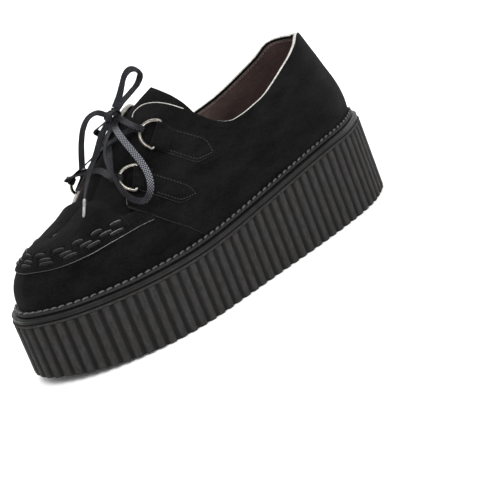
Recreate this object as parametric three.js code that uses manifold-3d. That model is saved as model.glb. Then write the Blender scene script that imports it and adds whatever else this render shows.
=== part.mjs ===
// Platform shoe for the left foot, in millimetres.
// +Y points to the toe, +X to the inner side of the foot and +Z up; the sole stands on z = 0.
import * as THREE from 'three';
import { mergeVertices } from 'three/addons/utils/BufferGeometryUtils.js';
import Module from 'manifold-3d';

const wasm = await Module();
wasm.setup();
const { Manifold, Mesh: SolidMesh } = wasm;

// Last: the form that the upper is pulled over
const lastLength = 261;        // foot line, from the back of the heel to the tip of the toe
const ballWidth = 82;          // foot line across the ball
const instepHeight = 91.5;     // top of the instep above the deck
const toeSwing = 4;            // how far the toe leans to the inner side

// Sole
const heelPlatform = 49.5;     // floor to the top of the ribbed sole, at the heel
const ballPlatform = 38.2;     // the same under the ball
const toeLift = 1.8;           // extra height of that top at the tip of the toe
const toeSpring = 5.8;         // underside above the floor, at the tip of the toe
const springStart = 0.69;      // share of the sole's length where the toe spring starts
const soleReach = 6.9;         // ribbed sole beyond the foot line
const ribPitch = 7;            // spacing of the ribs around the sole
const ribDepth = 1.3;
const beadHeight = 1.4;        // plain bead that closes the top of the ribs
const midsoleHeight = 3.5;
const midsoleInset = 0.8;      // midsole inside the bead
const weltInset = 3.2;         // welt inside the bead
const weltHeight = 2.2;

// Upper
const wall = 1.8;              // vamp, leather and lining
const quarterStep = 1.3;       // quarters lie this much proud of the vamp
const apronHeight = 1.2;       // apron laid on the vamp
const tongueWall = 2.4;
const insoleHeight = 4;
const gap = 0.3;               // clearance between neighbours

// Woven rows on the apron
const stripShare = 0.62;       // length of a strip in shares of its row's pitch
const stripWidth = 2.6;
const stripRaise = 0.9;

// Rings, tabs and lace
const wire = 2.1;              // ring wire diameter
const ringReach = 10.4;        // bow of the ring beyond its straight bar
const innerDrop = 0.035;       // rings sit lower on the inner side, share of instepHeight
const tabThickness = 1.2;
const laceWidth = 4;
const laceThickness = 1.2;
const laceTube = 3;            // stand-in diameter of the free lace
const knotSize = 10;

// Half widths of the foot line on the outer and the inner side, in shares of ballWidth.
// s is the share of lastLength from the heel.
const footRows = [
  { s: 0.000, outer: 0.000, inner: 0.000 },
  { s: 0.040, outer: 0.170, inner: 0.175 },
  { s: 0.110, outer: 0.300, inner: 0.300 },
  { s: 0.220, outer: 0.385, inner: 0.365 },
  { s: 0.340, outer: 0.435, inner: 0.350 },
  { s: 0.460, outer: 0.465, inner: 0.330 },
  { s: 0.580, outer: 0.500, inner: 0.385 },
  { s: 0.700, outer: 0.530, inner: 0.465 },
  { s: 0.800, outer: 0.500, inner: 0.490 },
  { s: 0.880, outer: 0.415, inner: 0.445 },
  { s: 0.945, outer: 0.290, inner: 0.340 },
  { s: 0.985, outer: 0.130, inner: 0.200 },
  { s: 1.000, outer: 0.000, inner: 0.000 },
];

// Sections of the last. Each one rises from the foot line at s to a crest point.
// along: share of lastLength, half: share of ballWidth, rise: share of instepHeight above the deck.
// The section bulges out by bulge (share of ballWidth) at the height share up,
// and reaches the crest from lean (share of its width) out and down (share of its height) below.
const crestRows = [
  { s: 0.00, along: 0.085, half: 0.000, rise: 0.857, bulge: 0.073, up: 0.30, lean: 0.30, down: 0.35 },
  { s: 0.06, along: 0.100, half: 0.160, rise: 0.857, bulge: 0.073, up: 0.30, lean: 0.30, down: 0.35 },
  { s: 0.14, along: 0.150, half: 0.260, rise: 0.857, bulge: 0.061, up: 0.30, lean: 0.35, down: 0.35 },
  { s: 0.26, along: 0.240, half: 0.320, rise: 0.875, bulge: 0.043, up: 0.32, lean: 0.50, down: 0.35 },
  { s: 0.38, along: 0.335, half: 0.300, rise: 0.935, bulge: 0.037, up: 0.35, lean: 0.70, down: 0.32 },
  { s: 0.50, along: 0.420, half: 0.170, rise: 0.998, bulge: 0.037, up: 0.40, lean: 0.75, down: 0.25 },
  { s: 0.58, along: 0.480, half: 0.040, rise: 0.984, bulge: 0.037, up: 0.42, lean: 0.70, down: 0.16 },
  { s: 0.64, along: 0.550, half: 0.000, rise: 0.926, bulge: 0.037, up: 0.44, lean: 0.62, down: 0.10 },
  { s: 0.72, along: 0.650, half: 0.000, rise: 0.740, bulge: 0.037, up: 0.45, lean: 0.60, down: 0.06 },
  { s: 0.80, along: 0.750, half: 0.000, rise: 0.507, bulge: 0.037, up: 0.48, lean: 0.66, down: 0.02 },
  { s: 0.88, along: 0.810, half: 0.000, rise: 0.410, bulge: 0.036, up: 0.50, lean: 0.70, down: 0.00 },
  { s: 0.95, along: 0.845, half: 0.000, rise: 0.373, bulge: 0.036, up: 0.50, lean: 0.74, down: 0.00 },
  { s: 1.00, along: 0.855, half: 0.000, rise: 0.356, bulge: 0.036, up: 0.50, lean: 0.76, down: 0.00 },
];

// Lines in side view: along is a share of lastLength, rise a share of instepHeight above the deck.
const outerCollar = [
  [-0.10, 0.66], [0.050, 0.682], [0.098, 0.712], [0.128, 0.676], [0.170, 0.629], [0.205, 0.598],
  [0.251, 0.556], [0.293, 0.525], [0.335, 0.518], [0.374, 0.518], [0.412, 0.534], [0.454, 0.611],
  [0.496, 0.756], [0.527, 0.850], [0.554, 0.880], [0.580, 0.864],
];
const innerCollar = [
  [-0.10, 0.66], [0.050, 0.682], [0.098, 0.680], [0.132, 0.612], [0.193, 0.545], [0.255, 0.510],
  [0.316, 0.505], [0.374, 0.514], [0.412, 0.534], [0.454, 0.611], [0.496, 0.756], [0.527, 0.850],
  [0.554, 0.880], [0.580, 0.864],
];
const facingLine = [[0.580, 0.864], [0.596, 0.833], [0.722, 0.488], [0.738, 0.422]];
const seamLine = [
  [0.738, 0.422], [0.722, 0.368], [0.699, 0.302], [0.676, 0.237], [0.638, 0.138], [0.600, 0.020],
];
const vampTopLine = [
  [0.565, 0.010], [0.607, 0.136], [0.646, 0.237], [0.676, 0.300], [0.700, 0.345], [0.722, 0.362],
  [0.745, 0.368], [0.783, 0.370],
];
const apronLine = [
  [0.690, 0.295], [0.745, 0.299], [0.780, 0.290], [0.818, 0.279], [0.856, 0.265], [0.925, 0.255],
  [0.967, 0.264], [1.050, 0.290],
];
const tongueSideLine = [
  [0.770, 0.380], [0.735, 0.384], [0.700, 0.440], [0.653, 0.520], [0.615, 0.590], [0.577, 0.645],
  [0.538, 0.680], [0.500, 0.660], [0.468, 0.610],
];
const tongueTopLine = [
  [0.468, 0.610], [0.475, 0.710], [0.480, 0.780], [0.488, 0.855], [0.493, 0.900], [0.494, 0.960],
  [0.494, 1.050],
];

// Rings: the ends of the straight bar, and the corners of the tab's far end, in side view
const ringPlaces = [
  {
    name: 'top',
    bar: [[0.563, 0.749], [0.620, 0.645]],
    tab: [[0.492, 0.545], [0.491, 0.430], [0.546, 0.455]],
  },
  {
    name: 'low',
    bar: [[0.666, 0.594], [0.704, 0.473]],
    tab: [[0.590, 0.372], [0.580, 0.280], [0.634, 0.302]],
  },
];

// Woven rows: height above the apron's edge in shares of instepHeight, the way along the row
// from the weave's rear edge to the first strip, and the pitch of the strips
const wovenRows = [
  { lift: 0.022, first: 1.7, pitch: 14.2 },
  { lift: 0.040, first: 7.7, pitch: 12.9 },
  { lift: 0.065, first: 0.0, pitch: 11.8 },
];

// Helpers
const TAU = 2 * Math.PI;
const clamp = (x, a, b) => Math.min(Math.max(x, a), b);
const smooth = (t) => { const c = clamp(t, 0, 1); return c * c * (3 - 2 * c); };
const wrapAngle = (a) => ((a + Math.PI) % TAU + TAU) % TAU - Math.PI;
const shareAt = (theta) => (1 - Math.cos(theta)) / 2;
const angleAt = (share) => Math.acos(1 - 2 * share);

// Smooth curve through rows of [x, y]; the slope at a row comes from both of its neighbours.
function curveThrough(rows) {
  const n = rows.length;
  const slope = [];
  for (let i = 0; i < n - 1; i++) {
    slope.push((rows[i + 1][1] - rows[i][1]) / (rows[i + 1][0] - rows[i][0]));
  }
  const tangent = rows.map((row, i) => {
    if (i === 0) return slope[0];
    if (i === n - 1) return slope[n - 2];
    const before = row[0] - rows[i - 1][0];
    const after = rows[i + 1][0] - row[0];
    return (slope[i - 1] * after + slope[i] * before) / (before + after);
  });
  return (x) => {
    let i = 0;
    while (i < n - 2 && x >= rows[i + 1][0]) i++;
    const span = rows[i + 1][0] - rows[i][0];
    const t = clamp((x - rows[i][0]) / span, 0, 1);
    const t2 = t * t;
    const t3 = t2 * t;
    return rows[i][1] * (2 * t3 - 3 * t2 + 1) + rows[i + 1][1] * (3 * t2 - 2 * t3)
      + tangent[i] * span * (t3 - 2 * t2 + t) + tangent[i + 1] * span * (t3 - t2);
  };
}

// Curve over the angle around the last, carried past both ends so that they come out round.
// The mirror is -1 for a width, which changes side there, and +1 for anything else.
function aroundCurve(rows, key, mirror) {
  const list = rows.map((row) => [angleAt(row.s), row[key]]);
  const n = list.length;
  const before = [2, 1].map((k) => [-list[k][0], mirror * list[k][1]]);
  const after = [n - 2, n - 3].map((k) => [TAU - list[k][0], mirror * list[k][1]]);
  const f = curveThrough([...before, ...list, ...after]);
  return (theta) => f(Math.abs(wrapAngle(theta)));
}

// Heights of the sole along the shoe
const soleLength = lastLength + 2 * soleReach;
const alongSole = (y) => y / soleLength + 0.5;

function rimHeight(y) {
  const s = alongSole(y);
  const fall = smooth((s - 0.15) / 0.5);
  const lift = clamp((s - 0.65) / 0.35, 0, 1) ** 2;
  return heelPlatform + (ballPlatform - heelPlatform) * fall + toeLift * lift;
}

const undersideHeight = (y) => toeSpring * clamp((alongSole(y) - springStart) / (1 - springStart), 0, 1) ** 2;
const deckHeight = (y) => rimHeight(y) + gap + midsoleHeight + gap;

// The last's surface. theta runs round the foot: 0 at the heel, negative on the outer side, pi at the toe.
// v runs up a section, 0 at the foot line and 1 at the crest.
const footOuter = aroundCurve(footRows, 'outer', -1);
const footInner = aroundCurve(footRows, 'inner', -1);
const crest = {};
for (const key of ['along', 'half', 'rise', 'bulge', 'up', 'lean', 'down']) {
  crest[key] = aroundCurve(crestRows, key, key === 'half' ? -1 : 1);
}

const swing = (share) => toeSwing * smooth((share - 0.6) / 0.4);

function footPoint(theta) {
  const s = shareAt(theta);
  const side = Math.sin(theta) < 0 ? -footOuter(theta) : footInner(theta);
  const y = (s - 0.5) * lastLength;
  return new THREE.Vector3(side * ballWidth + swing(s), y, deckHeight(y));
}

function crestPoint(theta) {
  const s = shareAt(theta);
  const half = Math.max(crest.half(theta), 0) * ballWidth;
  const foot = footPoint(theta);
  return new THREE.Vector3(
    Math.sign(Math.sin(theta)) * half + swing(s),
    (crest.along(theta) - 0.5) * lastLength,
    foot.z + crest.rise(theta) * instepHeight,
  );
}

function lastPoint(theta, v) {
  const foot = footPoint(theta);
  const top = crestPoint(theta);
  const outX = foot.x - top.x;
  const outY = foot.y - top.y;
  const reach = Math.hypot(outX, outY);
  const height = top.z - foot.z;
  const w = 1 - v;
  const u = reach * w ** 3 + (reach + crest.bulge(theta) * ballWidth) * 3 * v * w * w
    + crest.lean(theta) * reach * 3 * v * v * w;
  const z = foot.z * w ** 3 + (foot.z + crest.up(theta) * height) * 3 * v * w * w
    + (top.z - crest.down(theta) * height) * 3 * v * v * w + top.z * v ** 3;
  return new THREE.Vector3(top.x + outX / reach * u, top.y + outY / reach * u, z);
}

function lastNormal(theta, v) {
  const step = 2e-3;
  const alongTheta = lastPoint(theta + step, v).sub(lastPoint(theta - step, v));
  const alongV = lastPoint(theta, Math.min(v + step, 1)).sub(lastPoint(theta, Math.max(v - step, 0)));
  const n = alongTheta.cross(alongV).normalize();
  // where both sides meet in a crest line they share the normal of that line
  const a = Math.abs(wrapAngle(theta));
  if (crest.half(theta) > 1e-6 || a < Math.PI / 2) return n;
  const window = 0.05;
  const line = crestPoint(Math.min(a + window, Math.PI)).sub(crestPoint(a - window));
  const shared = new THREE.Vector3(0, -line.z, line.y).normalize();
  return n.lerp(shared, smooth((v - 0.9) / 0.1)).normalize();
}

const onLast = (theta, v, offset) => lastPoint(theta, v).addScaledVector(lastNormal(theta, v), offset);

// Point of the last's surface with a given side view, found by Newton steps on theta and v.
function fromSide(side, along, rise) {
  const y = (along - 0.5) * lastLength;
  const z = deckHeight(y) + rise * instepHeight;
  let theta = angleAt(clamp(along + 0.12, 0.05, 0.95));
  let v = 0.5;
  const d = 1e-3;
  for (let i = 0; i < 40; i++) {
    const p = lastPoint(side * theta, v);
    const pt = lastPoint(side * (theta + d), v);
    const pv = lastPoint(side * theta, v + d);
    const a = (pt.y - p.y) / d;
    const b = (pv.y - p.y) / d;
    const c = (pt.z - p.z) / d;
    const e = (pv.z - p.z) / d;
    const det = a * e - b * c;
    const ry = y - p.y;
    const rz = z - p.z;
    theta += clamp((e * ry - b * rz) / det, -0.15, 0.15);
    v = clamp(v + clamp((a * rz - c * ry) / det, -0.15, 0.15), 0.01, 0.99);
  }
  return { theta: side * theta, v };
}

// Solids
function toGeometry(points, triangles) {
  const geometry = new THREE.BufferGeometry();
  const numbers = points.flatMap((p) => [p.x, p.y, p.z]);
  geometry.setAttribute('position', new THREE.Float32BufferAttribute(numbers, 3));
  geometry.setIndex(triangles.flat());
  return geometry;
}

function toSolid(geometry) {
  const bare = geometry.clone();
  bare.deleteAttribute('normal');
  bare.deleteAttribute('uv');
  const merged = mergeVertices(bare, 1e-4);
  const index = merged.index.array;
  const kept = [];
  for (let i = 0; i < index.length; i += 3) {
    const [a, b, c] = [index[i], index[i + 1], index[i + 2]];
    if (a !== b && b !== c && c !== a) kept.push(a, b, c);
  }
  return new Manifold(new SolidMesh({
    numProp: 3,
    vertProperties: Float32Array.from(merged.attributes.position.array),
    triVerts: Uint32Array.from(kept),
  }));
}

function fromSolid(solid) {
  const { vertProperties, triVerts, numProp } = solid.getMesh();
  const positions = [];
  for (let i = 0; i < vertProperties.length; i += numProp) {
    positions.push(vertProperties[i], vertProperties[i + 1], vertProperties[i + 2]);
  }
  const geometry = new THREE.BufferGeometry();
  geometry.setAttribute('position', new THREE.Float32BufferAttribute(positions, 3));
  geometry.setIndex(Array.from(triVerts));
  return geometry;
}

// Closed solid from level rings with as many points each, listed from the lowest ring up.
// Point j and point n - j face each other across the shoe, and strips between them close both ends.
function ringStack(rings) {
  const n = rings[0].length;
  const triangles = [];
  const quad = (a, b, c, d) => triangles.push([a, b, c], [a, c, d]);
  for (let k = 0; k < rings.length - 1; k++) {
    for (let j = 0; j < n; j++) {
      const next = (j + 1) % n;
      quad(k * n + j, k * n + next, (k + 1) * n + next, (k + 1) * n + j);
    }
  }
  const last = (rings.length - 1) * n;
  for (let j = 0; j < n / 2; j++) {
    const facing = (n - j) % n;
    const after = n - j - 1;
    quad(facing, after, j + 1, j);
    quad(last + j, last + j + 1, last + after, last + facing);
  }
  return toSolid(toGeometry(rings.flat(), triangles));
}

const ringAngles = (count) => Array.from({ length: count }, (_, j) => -Math.PI + TAU * j / count);

// The last grown by an offset, which may vary over the surface, and carried down below the deck
const bodyColumns = 52;
const bodySteps = [0, 0.12, 0.26, 0.42, 0.58, 0.73, 0.87, 1];
const skirtDepth = 6;
function grownLast(offset, count = bodyColumns) {
  const amount = typeof offset === 'function' ? offset : () => offset;
  const angles = ringAngles(count);
  const rings = bodySteps.map((v) => angles.map((theta) => onLast(theta, v, amount(lastPoint(theta, v)))));
  const skirt = rings[0].map((p) => new THREE.Vector3(p.x, p.y, deckHeight(p.y) - skirtDepth));
  return ringStack([skirt, ...rings]);
}

// Side view regions, extruded across the shoe
const acrossShoe = new THREE.Matrix4().makeBasis(
  new THREE.Vector3(0, 1, 0), new THREE.Vector3(0, 0, 1), new THREE.Vector3(1, 0, 0),
);
const farSide = ballWidth;
function sideRegion(points, from = -farSide, to = farSide) {
  const shape = new THREE.Shape(points.map(([y, z]) => new THREE.Vector2(y, z)));
  const geometry = new THREE.ExtrudeGeometry(shape, { depth: to - from, bevelEnabled: false });
  geometry.translate(0, 0, from);
  geometry.applyMatrix4(acrossShoe);
  return toSolid(geometry);
}

const sidePoint = ([along, rise], shift = 0) => {
  const y = (along - 0.5) * lastLength + shift;
  return [y, deckHeight(y) + rise * instepHeight];
};

// A side line as points: smooth in the order of its rows, with a few steps for each row
function sideLine(rows, steps = 3, shift = 0) {
  const curve = new THREE.CatmullRomCurve3(rows.map((row) => {
    const [y, z] = sidePoint(row, shift);
    return new THREE.Vector3(y, z, 0);
  }), false, 'centripetal');
  return curve.getPoints((rows.length - 1) * steps).map((p) => [p.x, p.y]);
}

// The deck line between two places, raised by some height
function deckLine(fromY, toY, lift) {
  const steps = 24;
  return Array.from({ length: steps + 1 }, (_, i) => {
    const y = fromY + (toY - fromY) * i / steps;
    return [y, deckHeight(y) + lift];
  });
}

const backY = -0.6 * lastLength;
const frontY = 0.6 * lastLength;
const skyZ = heelPlatform + 2 * instepHeight;

// Outline of the sole, a distance beyond the foot line
function outlinePoint(theta, reach) {
  const step = 1e-3;
  const p = footPoint(theta);
  const a = footPoint(theta - step);
  const b = footPoint(theta + step);
  const nx = b.y - a.y;
  const ny = a.x - b.x;
  const size = Math.hypot(nx, ny);
  return new THREE.Vector3(p.x + nx / size * reach, p.y + ny / size * reach, 0);
}

// Angles at even steps of length round the outline, starting and ending at the toe
function evenAngles(count, reach) {
  const fine = 2000;
  const lengths = [0];
  let before = outlinePoint(-Math.PI, reach);
  for (let i = 1; i <= fine; i++) {
    const p = outlinePoint(-Math.PI + TAU * i / fine, reach);
    lengths.push(lengths[i - 1] + p.distanceTo(before));
    before = p;
  }
  let i = 0;
  return Array.from({ length: count }, (_, k) => {
    const wanted = lengths[fine] * k / count;
    while (lengths[i + 1] < wanted) i++;
    const part = (wanted - lengths[i]) / (lengths[i + 1] - lengths[i]);
    return -Math.PI + TAU * (i + part) / fine;
  });
}

function outlineLength(reach) {
  const points = ringAngles(720).map((theta) => outlinePoint(theta, reach));
  return points.reduce((sum, p, i) => sum + p.distanceTo(points[(i + 1) % points.length]), 0);
}

const levelRing = (angles, reaches, height) => angles.map((theta, j) => {
  const p = outlinePoint(theta, reaches[j % reaches.length]);
  return p.setZ(height(p.y));
});

// Ribbed sole with a plain bead over the ribs
function outsole() {
  const ribs = 2 * Math.round(outlineLength(soleReach) / ribPitch / 2);
  const crestReach = soleReach - 0.2;
  const reaches = [crestReach, crestReach, crestReach - ribDepth];
  const angles = evenAngles(ribs * reaches.length, soleReach);
  const beadFoot = (y) => rimHeight(y) - beadHeight;
  const round = beadHeight / 3;
  return ringStack([
    levelRing(angles, reaches, undersideHeight),
    levelRing(angles, reaches, beadFoot),
    levelRing(angles, [soleReach], (y) => beadFoot(y) + round),
    levelRing(angles, [soleReach - round], rimHeight),
  ]);
}

// Plain band with a rounded edge
function midsole() {
  const angles = ringAngles(72);
  const reach = soleReach - midsoleInset;
  const edge = [[0, 0.7], [0.3, 0.1], [0.7, 0.1], [1, 0.7]];
  return ringStack(edge.map(([share, inset]) => (
    levelRing(angles, [reach - inset], (y) => rimHeight(y) + gap + share * midsoleHeight))));
}

// Strip round the foot of the upper: its inner edge follows the vamp and, behind the seam, the quarters
function welt() {
  const seamFoot = (seamLine[seamLine.length - 1][0] - 0.5) * lastLength;
  const seamMargin = 12;
  const flatness = 0.1;        // how far the chords of the columns cut inside the curve
  const angles = ringAngles(80);
  const reach = soleReach - weltInset;
  const outer = angles.map((theta) => outlinePoint(theta, reach));
  const inner = (height) => angles.map((theta) => {
    const foot = footPoint(theta);
    const clearance = gap + flatness + (foot.y < seamFoot + seamMargin ? quarterStep : 0);
    const rise = 3 * crest.up(theta) * (crestPoint(theta).z - foot.z);
    return onLast(theta, height / rise, clearance).setZ(deckHeight(foot.y) + height);
  });
  const lifted = (points, height) => points.map((p) => p.clone().setZ(deckHeight(p.y) + height));
  return hoop([lifted(outer, 0), lifted(outer, weltHeight), inner(weltHeight), inner(0)]);
}

// Closed hoop between level loops, listed round its section
function hoop(loops) {
  const n = loops[0].length;
  const count = loops.length;
  const points = loops.flat();
  const triangles = [];
  for (let k = 0; k < count; k++) {
    const up = (k + 1) % count;
    for (let j = 0; j < n; j++) {
      const next = (j + 1) % n;
      triangles.push([k * n + j, k * n + next, up * n + next], [k * n + j, up * n + next, up * n + j]);
    }
  }
  return toSolid(toGeometry(points, triangles));
}

// Upper: the vamp's wall, and the quarters as a step out over it
function quarterRegion(collar, from, to) {
  const top = [...sideLine(collar), ...sideLine(facingLine).slice(1), ...sideLine(seamLine).slice(1)];
  const seamEnd = top[top.length - 1];
  return sideRegion([[backY, top[0][1]], ...top, ...deckLine(seamEnd[0] - 1, backY, 0)], from, to);
}

function vampRegion() {
  const line = sideLine(vampTopLine);
  return sideRegion([...line, [throatY, skyZ], [frontY, skyZ], ...deckLine(frontY, line[0][0] - 1, 0)]);
}

function upper(bodies) {
  const quarters = bodies.quarterSkin.subtract(bodies.lining)
    .intersect(quarterRegion(outerCollar, -farSide, 0).add(quarterRegion(innerCollar, 0, farSide)));
  const vamp = bodies.vampSkin.subtract(bodies.lining).intersect(vampRegion());
  return quarters.add(vamp);
}

// Apron and tongue in one: it lies on the vamp, dips at the throat and runs up under the facings
const throatY = (vampTopLine[vampTopLine.length - 1][0] - 0.5) * lastLength;
const dipLength = 8;
const dip = (p) => smooth((throatY - 1 - p.y) / dipLength);
const tongueDepth = wall + 1.1;
const apronGap = 0.4;
const tongueInner = (p) => apronGap - dip(p) * (apronGap + tongueDepth + tongueWall);
const tongueOuter = (p) => apronGap + apronHeight - dip(p) * (apronGap + apronHeight + tongueDepth);
const joinBack = 4;            // how far behind the throat the apron turns into the tongue
const joinY = throatY - joinBack;
const joinRise = 0.379;

function apronRegion() {
  const edge = sideLine(apronLine);
  const seam = sideLine(seamLine.slice(0, 3).reverse(), 4, 4 * gap)
    .filter(([y, z]) => z < deckHeight(y) + joinRise * instepHeight);
  return sideRegion([
    ...edge.filter(([y]) => y > seam[0][0]).reverse(), ...seam.slice(1),
    [seam[seam.length - 1][0], deckHeight(joinY) + joinRise * instepHeight],
    [joinY, deckHeight(joinY) + joinRise * instepHeight], [joinY, skyZ], [frontY, skyZ],
  ]);
}

function tongueRegion() {
  const overlap = 0.5;
  const side = sideLine(tongueSideLine);
  return sideRegion([
    [joinY + overlap, skyZ], [joinY + overlap, side[0][1]], ...side, ...sideLine(tongueTopLine).slice(1),
    [backY, skyZ],
  ].filter(([y, z], i) => i < 2 || y < joinY));
}

// Places along a woven row round the toe, ahead of the weave's rear edge, with the way up to each
const weaveStart = 0.767;
function wovenPath(row) {
  const edge = curveThrough(apronLine);
  const rise = (p) => (p.z - deckHeight(p.y)) / instepHeight - edge(p.y / lastLength + 0.5);
  const path = [];
  const from = angleAt(weaveStart - 0.03);
  const steps = 160;
  for (let i = 0; i <= steps; i++) {
    const theta = from + (TAU - 2 * from) * i / steps;
    let low = 0.1;
    let high = 1;
    for (let k = 0; k < 24; k++) {
      const mid = (low + high) / 2;
      if (rise(lastPoint(theta, mid)) < row.lift) low = mid;
      else high = mid;
    }
    const p = lastPoint(theta, low);
    if (p.y / lastLength + 0.5 > weaveStart) {
      const before = path[path.length - 1];
      path.push({ theta, v: low, p, travelled: before ? before.travelled + p.distanceTo(before.p) : 0 });
    }
  }
  return path;
}

function placeAt(path, travelled) {
  let i = 1;
  while (i < path.length - 1 && path[i].travelled < travelled) i++;
  const [a, b] = [path[i - 1], path[i]];
  const t = (travelled - a.travelled) / (b.travelled - a.travelled);
  const theta = a.theta + (b.theta - a.theta) * t;
  const v = a.v + (b.v - a.v) * t;
  return { theta, v, p: lastPoint(theta, v) };
}

// Both sides of the shoe have the same strips
function wovenStrips() {
  const strips = [];
  for (const row of wovenRows) {
    const path = wovenPath(row);
    const length = stripShare * row.pitch;
    const last = path[path.length - 1].travelled - row.first - length;
    const count = Math.round((last - row.first) / row.pitch);
    for (let k = 0; k <= count; k++) {
      const start = row.first + (last - row.first) * k / count;
      strips.push(strip(placeAt(path, start), placeAt(path, start + length)));
    }
  }
  return strips;
}

function strip(a, b) {
  const corners = [];
  for (const { theta, v } of [a, b]) {
    const centre = onLast(theta, v, 0);
    const n = lastNormal(theta, v);
    const along = b.p.clone().sub(a.p).normalize();
    const cross = n.clone().cross(along).normalize();
    const foot = apronGap + apronHeight / 2;
    const head = apronGap + apronHeight + stripRaise;
    for (const [side, height] of [[-1, foot], [1, foot], [0.8, head], [-0.8, head]]) {
      corners.push(centre.clone().addScaledVector(cross, side * stripWidth / 2).addScaledVector(n, height));
    }
  }
  return toSolid(prism(corners));
}

// Closed prism between sections of four or more points, all in the same order
function prism(corners, count = 4) {
  const triangles = [];
  const sections = corners.length / count;
  for (let k = 0; k < sections - 1; k++) {
    for (let j = 0; j < count; j++) {
      const next = (j + 1) % count;
      const a = k * count + j;
      const b = k * count + next;
      triangles.push([a, a + count, b + count], [a, b + count, b]);
    }
  }
  for (let j = 1; j < count - 1; j++) {
    triangles.push([0, j, j + 1]);
    const base = (sections - 1) * count;
    triangles.push([base, base + j + 1, base + j]);
  }
  const geometry = toGeometry(corners, triangles);
  return signedVolume(corners, triangles) < 0 ? flipped(corners, triangles) : geometry;
}

const flipped = (points, triangles) => toGeometry(points, triangles.map(([a, b, c]) => [a, c, b]));

function signedVolume(points, triangles) {
  return triangles.reduce((sum, [a, b, c]) => (
    sum + points[a].dot(points[b].clone().cross(points[c])) / 6), 0);
}

function apronTongue(bodies) {
  const apron = bodies.apronSkin.subtract(bodies.apronBack).intersect(apronRegion());
  const tongue = bodies.tongueSkin.subtract(bodies.tongueBack).intersect(tongueRegion());
  const sheet = apron.add(tongue);
  return wovenStrips().reduce((sum, piece) => sum.add(piece), sheet);
}

// Footbed on the midsole
function insole(bodies) {
  const region = sideRegion([
    ...deckLine(backY, frontY, 0), ...deckLine(frontY, backY, insoleHeight),
  ]);
  return bodies.footbed.intersect(region);
}

// Flat band along a path of points, with the up direction of each point
function band(points, ups, width, thickness) {
  const corners = points.flatMap((p, i) => {
    const before = points[Math.max(i - 1, 0)];
    const after = points[Math.min(i + 1, points.length - 1)];
    const along = after.clone().sub(before).normalize();
    const across = along.clone().cross(ups[i]).normalize();
    const up = across.clone().cross(along).normalize();
    return [[-1, -1], [1, -1], [1, 1], [-1, 1]].map(([a, b]) => p.clone()
      .addScaledVector(across, a * width / 2).addScaledVector(up, b * thickness / 2));
  });
  return prism(corners);
}

// Round bar along a closed loop of points, all square to one axis
function loopBar(points, axis, diameter, sides = 6) {
  const n = points.length;
  const vertices = points.flatMap((p, i) => {
    const along = points[(i + 1) % n].clone().sub(points[(i + n - 1) % n]).normalize();
    const out = along.clone().cross(axis).normalize();
    return Array.from({ length: sides }, (_, k) => {
      const a = TAU * k / sides;
      return p.clone().addScaledVector(out, Math.cos(a) * diameter / 2)
        .addScaledVector(axis, Math.sin(a) * diameter / 2);
    });
  });
  const triangles = [];
  for (let i = 0; i < n; i++) {
    for (let k = 0; k < sides; k++) {
      const a = i * sides + k;
      const b = i * sides + (k + 1) % sides;
      const c = ((i + 1) % n) * sides + (k + 1) % sides;
      const d = ((i + 1) % n) * sides + k;
      triangles.push([a, b, c], [a, c, d]);
    }
  }
  const inward = signedVolume(vertices, triangles) < 0;
  return inward ? flipped(vertices, triangles) : toGeometry(vertices, triangles);
}

// Round bar between two points
function bar(from, to, diameter, sides = 8) {
  const shape = new THREE.Shape(Array.from({ length: sides }, (_, k) => new THREE.Vector2(
    Math.cos(TAU * k / sides) * diameter / 2, Math.sin(TAU * k / sides) * diameter / 2)));
  return new THREE.ExtrudeGeometry(shape, {
    steps: 1, bevelEnabled: false, extrudePath: new THREE.LineCurve3(from, to),
  });
}

// Place of a ring: the bar's ends, the direction of the bow and the way out from the shoe
const lowered = ([along, rise], side) => [along, side > 0 ? rise - innerDrop : rise];
const foldRadius = wire / 2 + gap + tabThickness;
const barLift = quarterStep + gap + foldRadius;
function ringFrame(place, side) {
  const [a, b] = place.bar.map((row) => lowered(row, side));
  const [from, to] = [a, b].map(([along, rise]) => {
    const { theta, v } = fromSide(side, along, rise);
    return onLast(theta, v, barLift);
  });
  const middleAt = fromSide(side, (a[0] + b[0]) / 2, (a[1] + b[1]) / 2);
  const out = lastNormal(middleAt.theta, middleAt.v);
  const along = to.clone().sub(from).normalize();
  const bow = out.clone().cross(along).normalize();
  if (bow.y < 0) bow.negate();
  const axis = along.clone().cross(bow).normalize();
  if (axis.dot(out) < 0) axis.negate();
  const middle = onLast(middleAt.theta, middleAt.v, barLift);
  return { middle, along, bow, axis, half: from.distanceTo(to) / 2 };
}

// The bow of a ring above its bar, at a share of its half width
const bowStart = 0.8;
const bowReach = (share) => bowStart + (ringReach - bowStart) * Math.sqrt(1 - share * share);

function dRing(place, side) {
  const { middle, along, bow, axis, half } = ringFrame(place, side);
  const points = [];
  const straight = 2;
  for (let i = 0; i < straight; i++) {
    points.push([-half + 2 * half * (i + 0.5) / straight, 0]);
  }
  const turns = 10;
  for (let i = 0; i <= turns; i++) {
    const share = Math.cos(Math.PI * i / turns);
    points.push([half * share, bowReach(share)]);
  }
  const path = points.map(([u, w]) => middle.clone().addScaledVector(along, u).addScaledVector(bow, w));
  return loopBar(path, axis, wire);
}

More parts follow.
